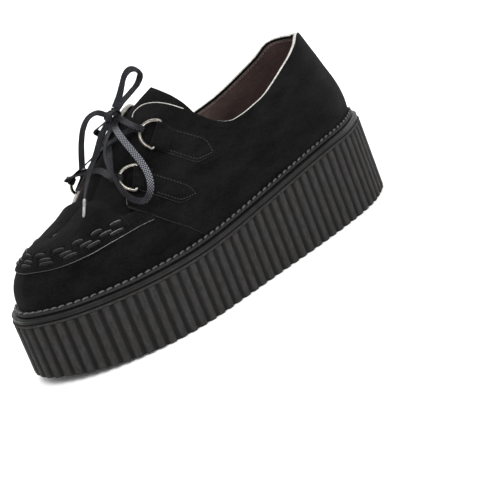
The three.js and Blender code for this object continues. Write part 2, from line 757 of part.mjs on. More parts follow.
// Tab: a patch on the quarter with a fold round the ring's bar
function ringTab(place, side, bodies) {
  const { middle, along, bow, axis, half } = ringFrame(place, side);
  const foldHalf = half - wire / 2 - gap;
  const end = (u) => middle.clone().addScaledVector(along, u);
  const [front, frontEnd] = [-foldHalf, foldHalf].map((u) => {
    const p = end(u).addScaledVector(axis, -foldRadius).addScaledVector(bow, 0.6 * foldRadius);
    return [p.y, p.z];
  });
  const outline = [front, ...place.tab.map((row) => sidePoint(lowered(row, side))), frontEnd];
  const patch = bodies.tabFace.subtract(bodies.tabBack)
    .intersect(sideRegion(outline, side < 0 ? -farSide : 0, side < 0 ? 0 : farSide));
  const fold = toSolid(bar(end(-foldHalf), end(foldHalf), 2 * foldRadius));
  const hole = toSolid(bar(end(-foldHalf - 1), end(foldHalf + 1), wire + 2 * gap));
  const clear = toSolid(dRingClearance(place, side));
  return patch.add(fold).subtract(hole).subtract(clear);
}

// The ring's own path with its clearance all round
function dRingClearance(place, side) {
  const { middle, along, bow, axis, half } = ringFrame(place, side);
  const corner = (u, w, h) => middle.clone().addScaledVector(along, u).addScaledVector(bow, w)
    .addScaledVector(axis, h);
  const reach = wire / 2 + gap;
  const corners = [];
  for (const u of [-half - 2 * wire, half + 2 * wire]) {
    corners.push(
      corner(u, reach * 0.6, -reach), corner(u, 3 * wire, -reach),
      corner(u, 3 * wire, foldRadius + 1), corner(u, reach * 0.6, foldRadius + 1),
    );
  }
  return prism(corners);
}

// Lace between the rings
function ridgePoint(along, lift) {
  let low = angleAt(0.62);
  let high = Math.PI;
  for (let i = 0; i < 40; i++) {
    const mid = (low + high) / 2;
    if (crest.along(mid) < along) low = mid;
    else high = mid;
  }
  return onLast(low, 1, lift);
}

// Point of a ring's bow, a share of its half width along the bar, with some room for the lace's slanted end
function ringPoint(place, side, share, room = 0.6 * laceWidth) {
  const { middle, along, bow, axis, half } = ringFrame(place, side);
  const reach = bowReach(share) + wire / 2 + gap + room;
  return middle.clone().addScaledVector(along, share * half).addScaledVector(bow, reach)
    .addScaledVector(axis, laceThickness / 2);
}

// Lace across the tongue between two points, over a point of the ridge
function crossing(from, to, over) {
  const points = [];
  const steps = 8;
  const half = to.clone().sub(from).multiplyScalar(0.5);
  const bend = from.clone().add(to).multiplyScalar(0.5).sub(over);
  for (let i = 0; i <= steps; i++) {
    const t = 2 * i / steps - 1;
    points.push(over.clone().addScaledVector(half, t).addScaledVector(bend, t * t));
  }
  return points;
}

function laceBand(points) {
  const middle = points[Math.floor(points.length / 2)];
  const ups = points.map((p) => new THREE.Vector3((p.x - middle.x) / 30, 0.5, 0.85).normalize());
  return band(points, ups, laceWidth, laceThickness);
}

const [topRing, lowRing] = ringPlaces;
const laceLift = 1.6;
function lowBar() {
  const along = 0.703;
  const [outer, inner] = [-1, 1].map((side) => ringPoint(lowRing, side, 0.2));
  return laceBand(crossing(outer, inner, ridgePoint(along, laceLift)));
}

function laceCross() {
  const over = ridgePoint(0.655, laceLift);
  const diagonal = (side) => toSolid(laceBand(
    crossing(ringPoint(lowRing, side, -0.4), ringPoint(topRing, -side, 0.4), over)));
  return diagonal(-1).add(diagonal(1));
}

// Knot over the ridge, with its loops and ends
const knotLift = 6.6;
const knotCentre = ridgePoint(0.602, knotLift);
function laceRun(side) {
  const from = ringPoint(topRing, side, -0.35, 0.2 * laceWidth);
  const to = knotCentre.clone().add(new THREE.Vector3(side * (0.6 * knotSize + gap), 0, 0));
  const steps = 4;
  const points = Array.from({ length: steps + 1 }, (_, i) => {
    const t = i / steps;
    return from.clone().lerp(to, t).addScaledVector(new THREE.Vector3(0, 0.5, 0.85), 1.5 * t * (1 - t));
  });
  return laceBand(points);
}

function knot() {
  const ball = new THREE.SphereGeometry(knotSize / 2, 10, 6);
  ball.scale(1.15, 0.9, 0.85);
  ball.translate(knotCentre.x, knotCentre.y, knotCentre.z);
  return toSolid(ball);
}

// Routes of the free lace, from the knot outward
const freeLace = {
  lace_loop_up: [
    [0, 27.4, 128.8], [-2.2, 22.6, 134.2], [-3.2, 18.8, 139.4], [-2.8, 14.6, 143.6], [-1.2, 9, 145.2],
    [0.6, 3.6, 143.2], [1.9, 1.4, 138.8], [3, 4.6, 134.6], [3.8, 11, 131.6], [4.2, 18.5, 128.9], [3.2, 25, 126.2],
  ],
  lace_loop_down: [
    [-4.2, 32.8, 121.7], [-8.4, 36.8, 120.4], [-14, 39.7, 118], [-21, 42, 113.6], [-28.6, 43.6, 107.4],
    [-35.8, 44.8, 99.8], [-40.2, 46.6, 92.2], [-42.2, 50.4, 85.6], [-41.8, 56, 82.2], [-38.8, 61.2, 85.2],
    [-34.6, 63, 91.6], [-29.4, 61.8, 98.4], [-23, 59, 104.8], [-15.5, 54.4, 109.8], [-9.4, 47, 115],
    [-4, 38.6, 118.6], [-1, 34, 120.8],
  ],
  lace_end_inner: [
    [4.9, 32.7, 127], [8.5, 34.9, 129.2], [13.7, 38.4, 128], [19.2, 41.4, 122.8], [24.5, 43.2, 115],
    [29.3, 44.2, 106.6], [33.9, 44.9, 97.8], [38.2, 45.4, 89],
  ],
  lace_end_outer: [
    [3, 34.1, 121.6], [3.2, 38, 119.2], [2.4, 43, 115.8], [1.4, 48.6, 110.8], [0.4, 54.8, 105.6],
    [-1.2, 61.4, 100.4], [-4, 67.8, 95.4], [-7.6, 73.8, 90.6],
  ],
};
const aglets = {
  aglet_inner: [[38.2, 45.4, 89], [42.4, 45.8, 77.6]],
  aglet_outer: [[-7.6, 73.8, 90.6], [-13.8, 82, 83.6]],
};
const agletDiameter = 2.4;

const vector = ([x, y, z]) => new THREE.Vector3(x, y, z);
function tube(points, diameter, sides = 6) {
  const path = new THREE.CatmullRomCurve3(points.map(vector), false, 'centripetal');
  const shape = new THREE.Shape(Array.from({ length: sides }, (_, k) => new THREE.Vector2(
    Math.cos(TAU * k / sides) * diameter / 2, Math.sin(TAU * k / sides) * diameter / 2)));
  const steps = Math.round(path.getLength() / (3 * diameter));
  return new THREE.ExtrudeGeometry(shape, { steps, bevelEnabled: false, extrudePath: path });
}

function aglet([from, to]) {
  const start = vector(from);
  const end = vector(to);
  start.addScaledVector(end.clone().sub(start).normalize(), gap);
  return bar(start, end, agletDiameter, 8);
}

// Materials
function paint(color, roughness, metalness = 0) {
  return new THREE.MeshStandardMaterial({ color, roughness, metalness });
}
const suede = paint(0x1d1c1e, 0.95);
const solePaint = paint(0x4b4845, 0.9);
const midsolePaint = paint(0x5a5a5e, 0.6);
const weltPaint = paint(0x2b2a2c, 0.75);
const footbedPaint = paint(0x6b4a42, 0.85);
const nickel = paint(0xc9c4ba, 0.25, 1);
const lacePaint = paint(0x2d2d33, 0.6);
const agletPaint = paint(0xa9a6a2, 0.4);

const shoe = new THREE.Group();
function place(name, solid, material) {
  const geometry = solid instanceof THREE.BufferGeometry ? solid : fromSolid(solid);
  const mesh = new THREE.Mesh(geometry, material);
  mesh.name = name;
  shoe.add(mesh);
}

const bodies = {
  lining: grownLast(-wall),
  vampSkin: grownLast(0),
  quarterSkin: grownLast(quarterStep),
  apronBack: grownLast(apronGap),
  apronSkin: grownLast(apronGap + apronHeight),
  tongueBack: grownLast(tongueInner, 2 * bodyColumns),
  tongueSkin: grownLast(tongueOuter, 2 * bodyColumns),
  footbed: grownLast(-wall - gap),
  tabBack: grownLast(quarterStep + gap),
  tabFace: grownLast(quarterStep + gap + tabThickness),
};

place('outsole', outsole(), solePaint);
place('midsole', midsole(), midsolePaint);
place('welt', welt(), weltPaint);
place('upper', upper(bodies), suede);
place('apron_tongue', apronTongue(bodies), suede);
place('insole', insole(bodies), footbedPaint);
for (const ring of ringPlaces) {
  for (const [sideName, side] of [['outer', -1], ['inner', 1]]) {
    place(`d_ring_${ring.name}_${sideName}`, dRing(ring, side), nickel);
    place(`ring_tab_${ring.name}_${sideName}`, ringTab(ring, side, bodies), suede);
  }
}
place('lace_bar', lowBar(), lacePaint);
place('lace_cross', laceCross(), lacePaint);
place('lace_run_outer', laceRun(-1), lacePaint);
place('lace_run_inner', laceRun(1), lacePaint);
place('lace_knot', knot(), lacePaint);
for (const [name, points] of Object.entries(freeLace)) {
  place(name, tube(points, laceTube), lacePaint);
}
for (const [name, ends] of Object.entries(aglets)) {
  place(name, aglet(ends), agletPaint);
}

// The foot line isn't the same on both sides, so the shoe is set over the middle of its sole
const rim = ringAngles(720).map((theta) => outlinePoint(theta, soleReach));
const rimX = rim.map((p) => p.x);
shoe.position.x = -(Math.min(...rimX) + Math.max(...rimX)) / 2;
shoe.updateMatrixWorld(true);

export default shoe;
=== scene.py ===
# Dressed model of the platform shoe for the left foot.
# Sizes are in millimetres inside the script and become metres where a piece is made.
# +Y points to the toe, +X to the inner side of the foot and +Z up, as in the frame.
import math

import bmesh
import bpy
import numpy as np
from mathutils import Matrix, Vector


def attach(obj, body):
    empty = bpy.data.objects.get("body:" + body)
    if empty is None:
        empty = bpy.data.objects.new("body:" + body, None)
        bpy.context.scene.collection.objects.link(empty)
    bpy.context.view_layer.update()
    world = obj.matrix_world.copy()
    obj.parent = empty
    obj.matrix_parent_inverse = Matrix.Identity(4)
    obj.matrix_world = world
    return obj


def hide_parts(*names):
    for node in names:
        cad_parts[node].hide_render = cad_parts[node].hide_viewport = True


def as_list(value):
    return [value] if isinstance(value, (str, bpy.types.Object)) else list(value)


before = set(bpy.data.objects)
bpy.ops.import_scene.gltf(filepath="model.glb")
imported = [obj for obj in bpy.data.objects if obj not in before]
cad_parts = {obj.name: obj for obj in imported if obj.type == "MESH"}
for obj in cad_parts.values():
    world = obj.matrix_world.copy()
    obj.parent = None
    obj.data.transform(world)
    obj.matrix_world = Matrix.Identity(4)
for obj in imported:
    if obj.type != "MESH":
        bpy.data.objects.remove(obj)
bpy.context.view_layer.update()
scene = bpy.context.scene
scene.view_settings.view_transform = "Standard"

# Last: the form that the upper is pulled over
LAST_LENGTH = 261.0
BALL_WIDTH = 82.0
INSTEP_HEIGHT = 91.5
TOE_SWING = 4.0

# Sole
HEEL_PLATFORM = 49.5
BALL_PLATFORM = 38.2
TOE_LIFT = 1.8
TOE_SPRING = 5.8
SPRING_START = 0.69
SOLE_REACH = 6.9
RIBS = 86
RIB_DEPTH = 1.5
BEAD_HEIGHT = 1.4
MIDSOLE_HEIGHT = 3.5
MIDSOLE_INSET = 0.8
WELT_INSET = 3.2
WELT_HEIGHT = 2.2
GAP = 0.3

# Upper
WALL = 1.8
LINING = 0.5
QUARTER_STEP = 1.3
APRON_GAP = 0.4
APRON_HEIGHT = 1.2
TONGUE_DEPTH = WALL + 1.1
TONGUE_WALL = 2.4
INSOLE_HEIGHT = 4.0

# Rings and lace
WIRE = 2.1
RING_REACH = 10.4
BOW_START = 0.8
TAB_THICKNESS = 1.2
LACE_WIDTH = 4.0
LACE_THICKNESS = 1.0

# Half widths of the foot line, in shares of BALL_WIDTH: share from the heel, outer side, inner side
FOOT_ROWS = np.array([
    [0.000, 0.000, 0.000], [0.040, 0.170, 0.175], [0.110, 0.300, 0.300], [0.220, 0.385, 0.365],
    [0.340, 0.435, 0.350], [0.460, 0.465, 0.330], [0.580, 0.500, 0.385], [0.700, 0.530, 0.465],
    [0.800, 0.500, 0.490], [0.880, 0.415, 0.445], [0.945, 0.290, 0.340], [0.985, 0.130, 0.200],
    [1.000, 0.000, 0.000],
])

# Sections of the last: share of the foot line, then along, half width, rise, bulge, up, lean, down
CREST_ROWS = np.array([
    [0.00, 0.085, 0.000, 0.857, 0.073, 0.30, 0.30, 0.35],
    [0.06, 0.100, 0.160, 0.857, 0.073, 0.30, 0.30, 0.35],
    [0.14, 0.150, 0.260, 0.857, 0.061, 0.30, 0.35, 0.35],
    [0.26, 0.240, 0.320, 0.875, 0.043, 0.32, 0.50, 0.35],
    [0.38, 0.335, 0.300, 0.935, 0.037, 0.35, 0.70, 0.32],
    [0.50, 0.420, 0.170, 0.998, 0.037, 0.40, 0.75, 0.25],
    [0.58, 0.480, 0.040, 0.984, 0.037, 0.42, 0.70, 0.16],
    [0.64, 0.550, 0.000, 0.926, 0.037, 0.44, 0.62, 0.10],
    [0.72, 0.650, 0.000, 0.740, 0.037, 0.45, 0.60, 0.06],
    [0.80, 0.750, 0.000, 0.507, 0.037, 0.48, 0.66, 0.02],
    [0.88, 0.810, 0.000, 0.410, 0.036, 0.50, 0.70, 0.00],
    [0.95, 0.845, 0.000, 0.373, 0.036, 0.50, 0.74, 0.00],
    [1.00, 0.855, 0.000, 0.356, 0.036, 0.50, 0.76, 0.00],
])

# Lines in side view: share of LAST_LENGTH along, share of INSTEP_HEIGHT above the deck
OUTER_COLLAR = [
    (-0.10, 0.66), (0.050, 0.682), (0.098, 0.712), (0.128, 0.676), (0.170, 0.629), (0.205, 0.598),
    (0.251, 0.556), (0.293, 0.525), (0.335, 0.518), (0.374, 0.518), (0.412, 0.534), (0.454, 0.611),
    (0.496, 0.756), (0.527, 0.850), (0.554, 0.880), (0.580, 0.864),
]
INNER_COLLAR = [
    (-0.10, 0.66), (0.050, 0.682), (0.098, 0.680), (0.132, 0.612), (0.193, 0.545), (0.255, 0.510),
    (0.316, 0.505), (0.374, 0.514),
] + OUTER_COLLAR[-6:]
FACING = [(0.580, 0.864), (0.596, 0.833), (0.722, 0.488), (0.738, 0.422)]
SEAM = [(0.738, 0.422), (0.722, 0.368), (0.699, 0.302), (0.676, 0.237), (0.638, 0.138), (0.600, 0.020)]
APRON_EDGE = [
    (0.690, 0.295), (0.745, 0.299), (0.780, 0.290), (0.818, 0.279), (0.856, 0.265), (0.925, 0.255),
    (0.967, 0.264), (1.050, 0.290),
]
TONGUE_SIDE = [
    (0.770, 0.380), (0.735, 0.384), (0.700, 0.440), (0.653, 0.520), (0.615, 0.590), (0.577, 0.645),
    (0.538, 0.680), (0.500, 0.660), (0.468, 0.610),
]
TONGUE_TOP = [
    (0.468, 0.610), (0.475, 0.710), (0.480, 0.780), (0.488, 0.855), (0.493, 0.900), (0.494, 0.960),
    (0.494, 1.050),
]
THROAT = 0.783
TOP_BAR = [(0.563, 0.749), (0.620, 0.645)]
TOP_TAB = [(0.492, 0.545), (0.491, 0.430), (0.546, 0.455)]
LOW_BAR = [(0.666, 0.594), (0.704, 0.473)]
LOW_TAB = [(0.590, 0.372), (0.580, 0.280), (0.634, 0.302)]
INNER_DROP = 0.035

# Woven rows: height above the apron's edge in shares of INSTEP_HEIGHT, way to the first strip, pitch
WOVEN_ROWS = [(0.022, 1.7, 14.2), (0.040, 7.7, 12.9), (0.065, 0.0, 11.8)]
WEAVE_START = 0.767
WEAVE_EDGE = 0.761
STRIP_SHARE = 0.62
STRIP_WIDTH = 2.6

# Layers reach this far under the one that covers them
UNDER_QUARTER = 9.0
UNDER_APRON = 7.0

# Rows of stitches
COLLAR_STITCHES = {"pitch": 2.5, "length": 1.9, "radius": 0.22}
TAB_STITCHES = {"pitch": 2.1, "length": 1.5, "radius": 0.2}
WELT_STITCHES = {"pitch": 4.9, "length": 3.9, "radius": 0.68, "slant": 0.55, "sides": 8}

TAU = 2 * math.pi
BRIDGE = 0.1
SOLE_LENGTH = LAST_LENGTH + 2 * SOLE_REACH


# Curves and the surface of the last
def smooth(t):
    t = np.clip(t, 0, 1)
    return t * t * (3 - 2 * t)


def curve(xs, ys, x):
    xs, ys, x = (np.asarray(a, float) for a in (xs, ys, x))
    h = np.diff(xs)
    slope = np.diff(ys) / h
    tangent = np.empty_like(ys)
    tangent[1:-1] = (slope[:-1] * h[1:] + slope[1:] * h[:-1]) / (h[1:] + h[:-1])
    tangent[0], tangent[-1] = slope[0], slope[-1]
    i = np.clip(np.searchsorted(xs, x, side="right") - 1, 0, len(xs) - 2)
    t = np.clip((x - xs[i]) / h[i], 0, 1)
    return (ys[i] * (2 * t**3 - 3 * t**2 + 1) + ys[i + 1] * (3 * t**2 - 2 * t**3)
            + tangent[i] * h[i] * (t**3 - 2 * t**2 + t) + tangent[i + 1] * h[i] * (t**3 - t**2))


def wrap(theta):
    return (np.asarray(theta) + math.pi) % TAU - math.pi


def angle_at(share):
    return np.arccos(1 - 2 * np.clip(share, 0, 1))


def around(shares, values, mirror, theta):
    """Curve over the angle round the last, carried past both ends so that they come out round."""
    a = angle_at(shares)
    xs = np.concatenate([-a[2:0:-1], a, TAU - a[-2:-4:-1]])
    ys = np.concatenate([mirror * values[2:0:-1], values, mirror * values[-2:-4:-1]])
    return curve(xs, ys, np.abs(wrap(theta)))


def rim_height(y):
    s = y / SOLE_LENGTH + 0.5
    lift = np.clip((s - 0.65) / 0.35, 0, 1) ** 2
    return HEEL_PLATFORM + (BALL_PLATFORM - HEEL_PLATFORM) * smooth((s - 0.15) / 0.5) + TOE_LIFT * lift


def underside_height(y):
    s = y / SOLE_LENGTH + 0.5
    return TOE_SPRING * np.clip((s - SPRING_START) / (1 - SPRING_START), 0, 1) ** 2


def deck_height(y):
    return rim_height(y) + GAP + MIDSOLE_HEIGHT + GAP


def swing(share):
    """How far the middle line turns inwards at a share of the foot line."""
    return TOE_SWING * smooth((share - 0.6) / 0.4)


def foot_point(theta):
    s = (1 - np.cos(theta)) / 2
    outer = around(FOOT_ROWS[:, 0], FOOT_ROWS[:, 1], -1, theta)
    inner = around(FOOT_ROWS[:, 0], FOOT_ROWS[:, 2], -1, theta)
    x = np.where(np.sin(theta) < 0, -outer, inner) * BALL_WIDTH + swing(s)
    y = (s - 0.5) * LAST_LENGTH
    return np.stack([x, y, deck_height(y)], -1)


def crest(theta, column):
    mirror = -1 if column == 2 else 1
    return around(CREST_ROWS[:, 0], CREST_ROWS[:, column], mirror, theta)


def crest_point(theta):
    s = (1 - np.cos(theta)) / 2
    x = np.sign(np.sin(theta)) * np.maximum(crest(theta, 2), 0) * BALL_WIDTH + swing(s)
    y = (crest(theta, 1) - 0.5) * LAST_LENGTH
    return np.stack([x, y, foot_point(theta)[..., 2] + crest(theta, 3) * INSTEP_HEIGHT], -1)


def last_point(theta, v):
    """Point of the last; past v = 1 the surface bridges the gap between both crest lines."""
    theta, v = np.broadcast_arrays(np.asarray(theta, float), np.asarray(v, float))
    foot, top = foot_point(theta), crest_point(theta)
    out = foot[..., :2] - top[..., :2]
    reach = np.maximum(np.linalg.norm(out, axis=-1), 1e-6)
    height = top[..., 2] - foot[..., 2]
    past = np.clip((v - 1) / BRIDGE, 0, 1)
    v = np.minimum(v, 1)
    w = 1 - v
    u = (reach * w**3 + (reach + crest(theta, 4) * BALL_WIDTH) * 3 * v * w * w
         + crest(theta, 6) * reach * 3 * v * v * w)
    z = (foot[..., 2] * w**3 + (foot[..., 2] + crest(theta, 5) * height) * 3 * v * w * w
         + (top[..., 2] - crest(theta, 7) * height) * 3 * v * v * w + top[..., 2] * v**3)
    p = np.concatenate([top[..., :2] + out / reach[..., None] * u[..., None], z[..., None]], -1)
    middle = swing((1 - np.cos(theta)) / 2)
    half = np.abs(p[..., 0] - middle)
    p[..., 0] += (middle - p[..., 0]) * past
    p[..., 2] += 0.3 * half * (1 - (1 - past) ** 2) * (past > 0)
    return p


def unit(a):
    return a / np.maximum(np.linalg.norm(a, axis=-1, keepdims=True), 1e-9)


def last_normal(theta, v):
    theta, v = np.broadcast_arrays(np.asarray(theta, float), np.asarray(v, float))
    step = 2e-3
    low = np.minimum(v, 1)
    a = last_point(theta + step, low) - last_point(theta - step, low)
    b = last_point(theta, np.clip(low + step, 0, 1)) - last_point(theta, np.clip(low - step, 0, 1))
    n = unit(np.cross(a, b))
    # where both sides meet in a crest line they share the normal of that line
    t = np.abs(wrap(theta))
    line = crest_point(np.clip(t + 0.05, 0, math.pi)) - crest_point(np.clip(t - 0.05, 0, math.pi))
    shared = unit(np.stack([0 * t, -line[..., 2], line[..., 1]], -1))
    ridge = (crest(theta, 2) <= 1e-6) & (t > 1.5)
    share = np.where(ridge, smooth((v - 0.9) / 0.1), np.clip((v - 1) / BRIDGE, 0, 1))[..., None]
    return unit(n * (1 - share) + shared * share)


def on_last(theta, v, offset=0.0):
    theta, v = np.broadcast_arrays(np.asarray(theta, float), np.asarray(v, float))
    return last_point(theta, v) + last_normal(theta, v) * np.asarray(offset, float)[..., None]


def outline_point(theta, reach):
    step = 1e-3
    d = foot_point(theta + step) - foot_point(theta - step)
    out = unit(np.stack([d[..., 1], -d[..., 0]], -1))
    return foot_point(theta)[..., :2] + out * np.asarray(reach, float)[..., None]


def from_side(side, along, rise):
    """Place (theta, v) of the last's surface with a given side view."""
    y = (along - 0.5) * LAST_LENGTH
    z = deck_height(y) + rise * INSTEP_HEIGHT
    theta, v = float(angle_at(np.clip(along + 0.12, 0.05, 0.95))), 0.5
    d = 1e-3
    for _ in range(40):
        p = last_point(side * theta, v)
        pt = (last_point(side * (theta + d), v) - p) / d
        pv = (last_point(side * theta, v + d) - p) / d
        det = pt[1] * pv[2] - pv[1] * pt[2]
        ry, rz = y - p[1], z - p[2]
        theta += float(np.clip((pv[2] * ry - pv[1] * rz) / det, -0.15, 0.15))
        v = float(np.clip(v + np.clip((pt[1] * rz - pt[2] * ry) / det, -0.15, 0.15), 0.01, 0.99))
    return side * theta, v


def ridge_angle(along):
    low, high = float(angle_at(0.62)), math.pi
    for _ in range(40):
        mid = (low + high) / 2
        if crest(mid, 1) < along:
            low = mid
        else:
            high = mid
    return low


def ridge_point(along, lift):
    return on_last(ridge_angle(along), 1.0, lift)


def side_points(rows):
    rows = np.asarray(rows, float)
    y = (rows[:, 0] - 0.5) * LAST_LENGTH
    return np.stack([y, deck_height(y) + rows[:, 1] * INSTEP_HEIGHT], -1)


def way(line):
    """Lengths from a line's start to each of its points."""
    return np.concatenate([[0], np.cumsum(np.linalg.norm(np.diff(line, axis=0), axis=1))])


def catmull(points, step, closed=False):
    """Centripetal curve through points, with places about step apart."""
    p = np.asarray(points, float)
    if closed:
        p = np.concatenate([p[-1:], p, p[:2]])
    else:
        p = np.concatenate([2 * p[:1] - p[1:2], p, 2 * p[-1:] - p[-2:-1]])
    out = []
    for i in range(1, len(p) - 2):
        a, b, c, d = p[i - 1:i + 3]
        t1 = max(np.linalg.norm(b - a) ** 0.5, 1e-6)
        t2 = t1 + max(np.linalg.norm(c - b) ** 0.5, 1e-6)
        t3 = t2 + max(np.linalg.norm(d - c) ** 0.5, 1e-6)
        n = max(2, int(np.linalg.norm(c - b) / step * 4) + 1)
        t = np.linspace(t1, t2, n, endpoint=False)[:, None]
        ab = a + (b - a) * t / t1
        bc = b + (c - b) * (t - t1) / (t2 - t1)
        cd = c + (d - c) * (t - t2) / (t3 - t2)
        abc = ab + (bc - ab) * t / t2
        bcd = bc + (cd - bc) * (t - t1) / (t3 - t1)
        out.append(abc + (bcd - abc) * (t - t1) / (t2 - t1))
    out.append(p[-2:-1])
    return spaced(np.concatenate(out), step)


def spaced(line, step):
    lengths = way(line)
    at = np.linspace(0, lengths[-1], max(2, int(round(lengths[-1] / step)) + 1))
    return np.stack([np.interp(at, lengths, line[:, k]) for k in range(line.shape[1])], -1)


rim_line = outline_point(np.linspace(0, TAU, 1440), SOLE_REACH)
SHIFT = -(rim_line[:, 0].min() + rim_line[:, 0].max()) / 2


def metres(points):
    p = np.array(points, float)
    p[..., 0] += SHIFT
    return p * 0.001


# Camera: the photograph's angle to the shoe
CAMERA_PLACE = np.array([-869.8, 527.4, 324.9])
CAMERA_RIGHT = unit(np.array([-0.5898, -0.7278, -0.35]))
CAMERA_BACK = unit(np.array([-0.807, 0.5151, 0.2888]))
CAMERA_UP = unit(np.cross(CAMERA_BACK, CAMERA_RIGHT))


def make_camera():
    data = bpy.data.cameras.new("camera")
    data.lens = 123.2
    data.sensor_width = 36
    data.sensor_fit = "HORIZONTAL"
    data.clip_start = 0.05
    data.clip_end = 20
    camera = bpy.data.objects.new("camera", data)
    axes = Matrix(np.stack([CAMERA_RIGHT, CAMERA_UP, CAMERA_BACK], 1).tolist())
    camera.matrix_world = Matrix.Translation(Vector(metres(CAMERA_PLACE))) @ axes.to_4x4()
    scene.collection.objects.link(camera)
    scene.camera = camera


make_camera()


# Materials
class Nodes:
    """Short names for the nodes of one material."""

    def __init__(self, name):
        self.material = bpy.data.materials.new(name)
        self.material.use_nodes = True
        self.tree = self.material.node_tree
        self.shader = self.tree.nodes["Principled BSDF"]
        self.place = self.add("ShaderNodeTexCoord").outputs["Object"]

    def add(self, kind, **settings):
        node = self.tree.nodes.new(kind)
        for key, value in settings.items():
            setattr(node, key, value)
        return node

    def put(self, value, socket):
        if isinstance(value, bpy.types.NodeSocket):
            self.tree.links.new(value, socket)
        else:
            socket.default_value = value

    def noise(self, scale, detail=3.0, rough=0.55, place=None, stretch=None):
        place = place or self.place
        if stretch:
            mapping = self.add("ShaderNodeMapping")
            mapping.inputs["Scale"].default_value = stretch
            self.put(place, mapping.inputs["Vector"])
            place = mapping.outputs["Vector"]
        node = self.add("ShaderNodeTexNoise")
        self.put(place, node.inputs["Vector"])
        self.put(scale, node.inputs["Scale"])
        self.put(detail, node.inputs["Detail"])
        self.put(rough, node.inputs["Roughness"])
        return node.outputs["Fac"]

    def cells(self, scale, place=None):
        node = self.add("ShaderNodeTexVoronoi")
        self.put(place or self.place, node.inputs["Vector"])
        self.put(scale, node.inputs["Scale"])
        return node.outputs["Distance"]

    def math(self, operation, a, b=0.0, clamp=False):
        node = self.add("ShaderNodeMath", operation=operation, use_clamp=clamp)
        self.put(a, node.inputs[0])
        self.put(b, node.inputs[1])
        return node.outputs[0]

    def spread(self, value, low, high, to_low=0.0, to_high=1.0):
        node = self.add("ShaderNodeMapRange", clamp=True)
        for socket, v in zip(("Value", "From Min", "From Max", "To Min", "To Max"),
                             (value, low, high, to_low, to_high)):
            self.put(v, node.inputs[socket])
        return node.outputs[0]

    def value(self, name):
        return self.add("ShaderNodeAttribute", attribute_name=name).outputs["Fac"]

    def mix(self, share, a, b):
        node = self.add("ShaderNodeMix", data_type="RGBA")
        self.put(share, node.inputs[0])
        for value, socket in ((a, node.inputs[6]), (b, node.inputs[7])):
            self.put(value if isinstance(value, bpy.types.NodeSocket) else (*value, 1), socket)
        return node.outputs[2]

    def along_shoe(self):
        """The Y of the place, in metres from the middle of the shoe."""
        split = self.add("ShaderNodeSeparateXYZ")
        self.put(self.place, split.inputs[0])
        return split.outputs[1]

    def bump(self, height, distance, strength=1.0, before=None):
        node = self.add("ShaderNodeBump")
        self.put(height, node.inputs["Height"])
        node.inputs["Distance"].default_value = distance
        node.inputs["Strength"].default_value = strength
        if before:
            self.put(before, node.inputs["Normal"])
        return node.outputs["Normal"]

    def finish(self, color, roughness, normal=None, metallic=0.0, **sockets):
        s = self.shader.inputs
        self.put(color if isinstance(color, bpy.types.NodeSocket) else (*color, 1), s["Base Color"])
        self.put(roughness, s["Roughness"])
        self.put(metallic, s["Metallic"])
        if normal:
            self.put(normal, s["Normal"])
        for name, value in sockets.items():
            s[name.replace("_", " ")].default_value = value
        return self.material


def suede_material():
    n = Nodes("black suede")
    strokes = n.noise(60, 4, 0.6, stretch=(1.0, 0.6, 1.6))
    nap = n.noise(900, 2, 0.6)
    fibre = n.noise(3200, 2, 0.7, stretch=(1.0, 0.5, 1.0))
    shade = n.math("ADD", n.math("MULTIPLY", strokes, 0.6), n.math("MULTIPLY", nap, 0.4))
    color = n.mix(n.spread(shade, 0.34, 0.66), (0.0008, 0.0008, 0.0009), (0.0075, 0.0073, 0.0078))
    normal = n.bump(fibre, 0.0004, 0.9, n.bump(nap, 0.0008, 0.5))
    return n.finish(color, 0.95, normal, Sheen_Weight=0.035, Sheen_Roughness=0.4,
                    Sheen_Tint=(0.6, 0.6, 0.62, 1), Specular_IOR_Level=0.05)


def strip_material():
    n = Nodes("woven suede strips")
    nap = n.noise(900, 2, 0.6)
    fibre = n.noise(2600, 2, 0.7)
    color = n.mix(n.spread(nap, 0.36, 0.64), (0.003, 0.003, 0.0033), (0.014, 0.0138, 0.0145))
    normal = n.bump(fibre, 0.0004, 0.8, n.bump(nap, 0.0006, 0.5))
    return n.finish(color, 0.8, normal, Specular_IOR_Level=0.15)


def grained(name, scale, rough, spread, dark, light, roughness, bump, **sockets):
    """A material with one grain, which gives its colour between dark and light, and its bump."""
    n = Nodes(name)
    grain = n.noise(scale, 3, rough)
    color = n.mix(n.spread(grain, *spread), dark, light)
    return n.finish(color, roughness, n.bump(grain, *bump), **sockets)


def thread_material(name, dark, light, rough=0.6):
    return grained(name, 1400, 0.65, (0.36, 0.64), dark, light, rough, (0.0003, 0.6), Specular_IOR_Level=0.4)


def grey_edge_and_highlight_material():
    n = Nodes("grey cut edge and painted strip highlight")
    grain = n.noise(800, 3, 0.65)
    broken = n.noise(160, 2, 0.5)
    low = n.mix(n.spread(broken, 0.4, 0.6), (0.02, 0.02, 0.02), (0.10, 0.097, 0.09))
    light = n.mix(n.spread(grain, 0.3, 0.7), low, (0.24, 0.235, 0.22))
    color = n.mix(n.spread(n.along_shoe(), 0.085, 0.112), light, (0.022, 0.0215, 0.021))
    return n.finish(color, 0.6, n.bump(grain, 0.0003, 0.6))


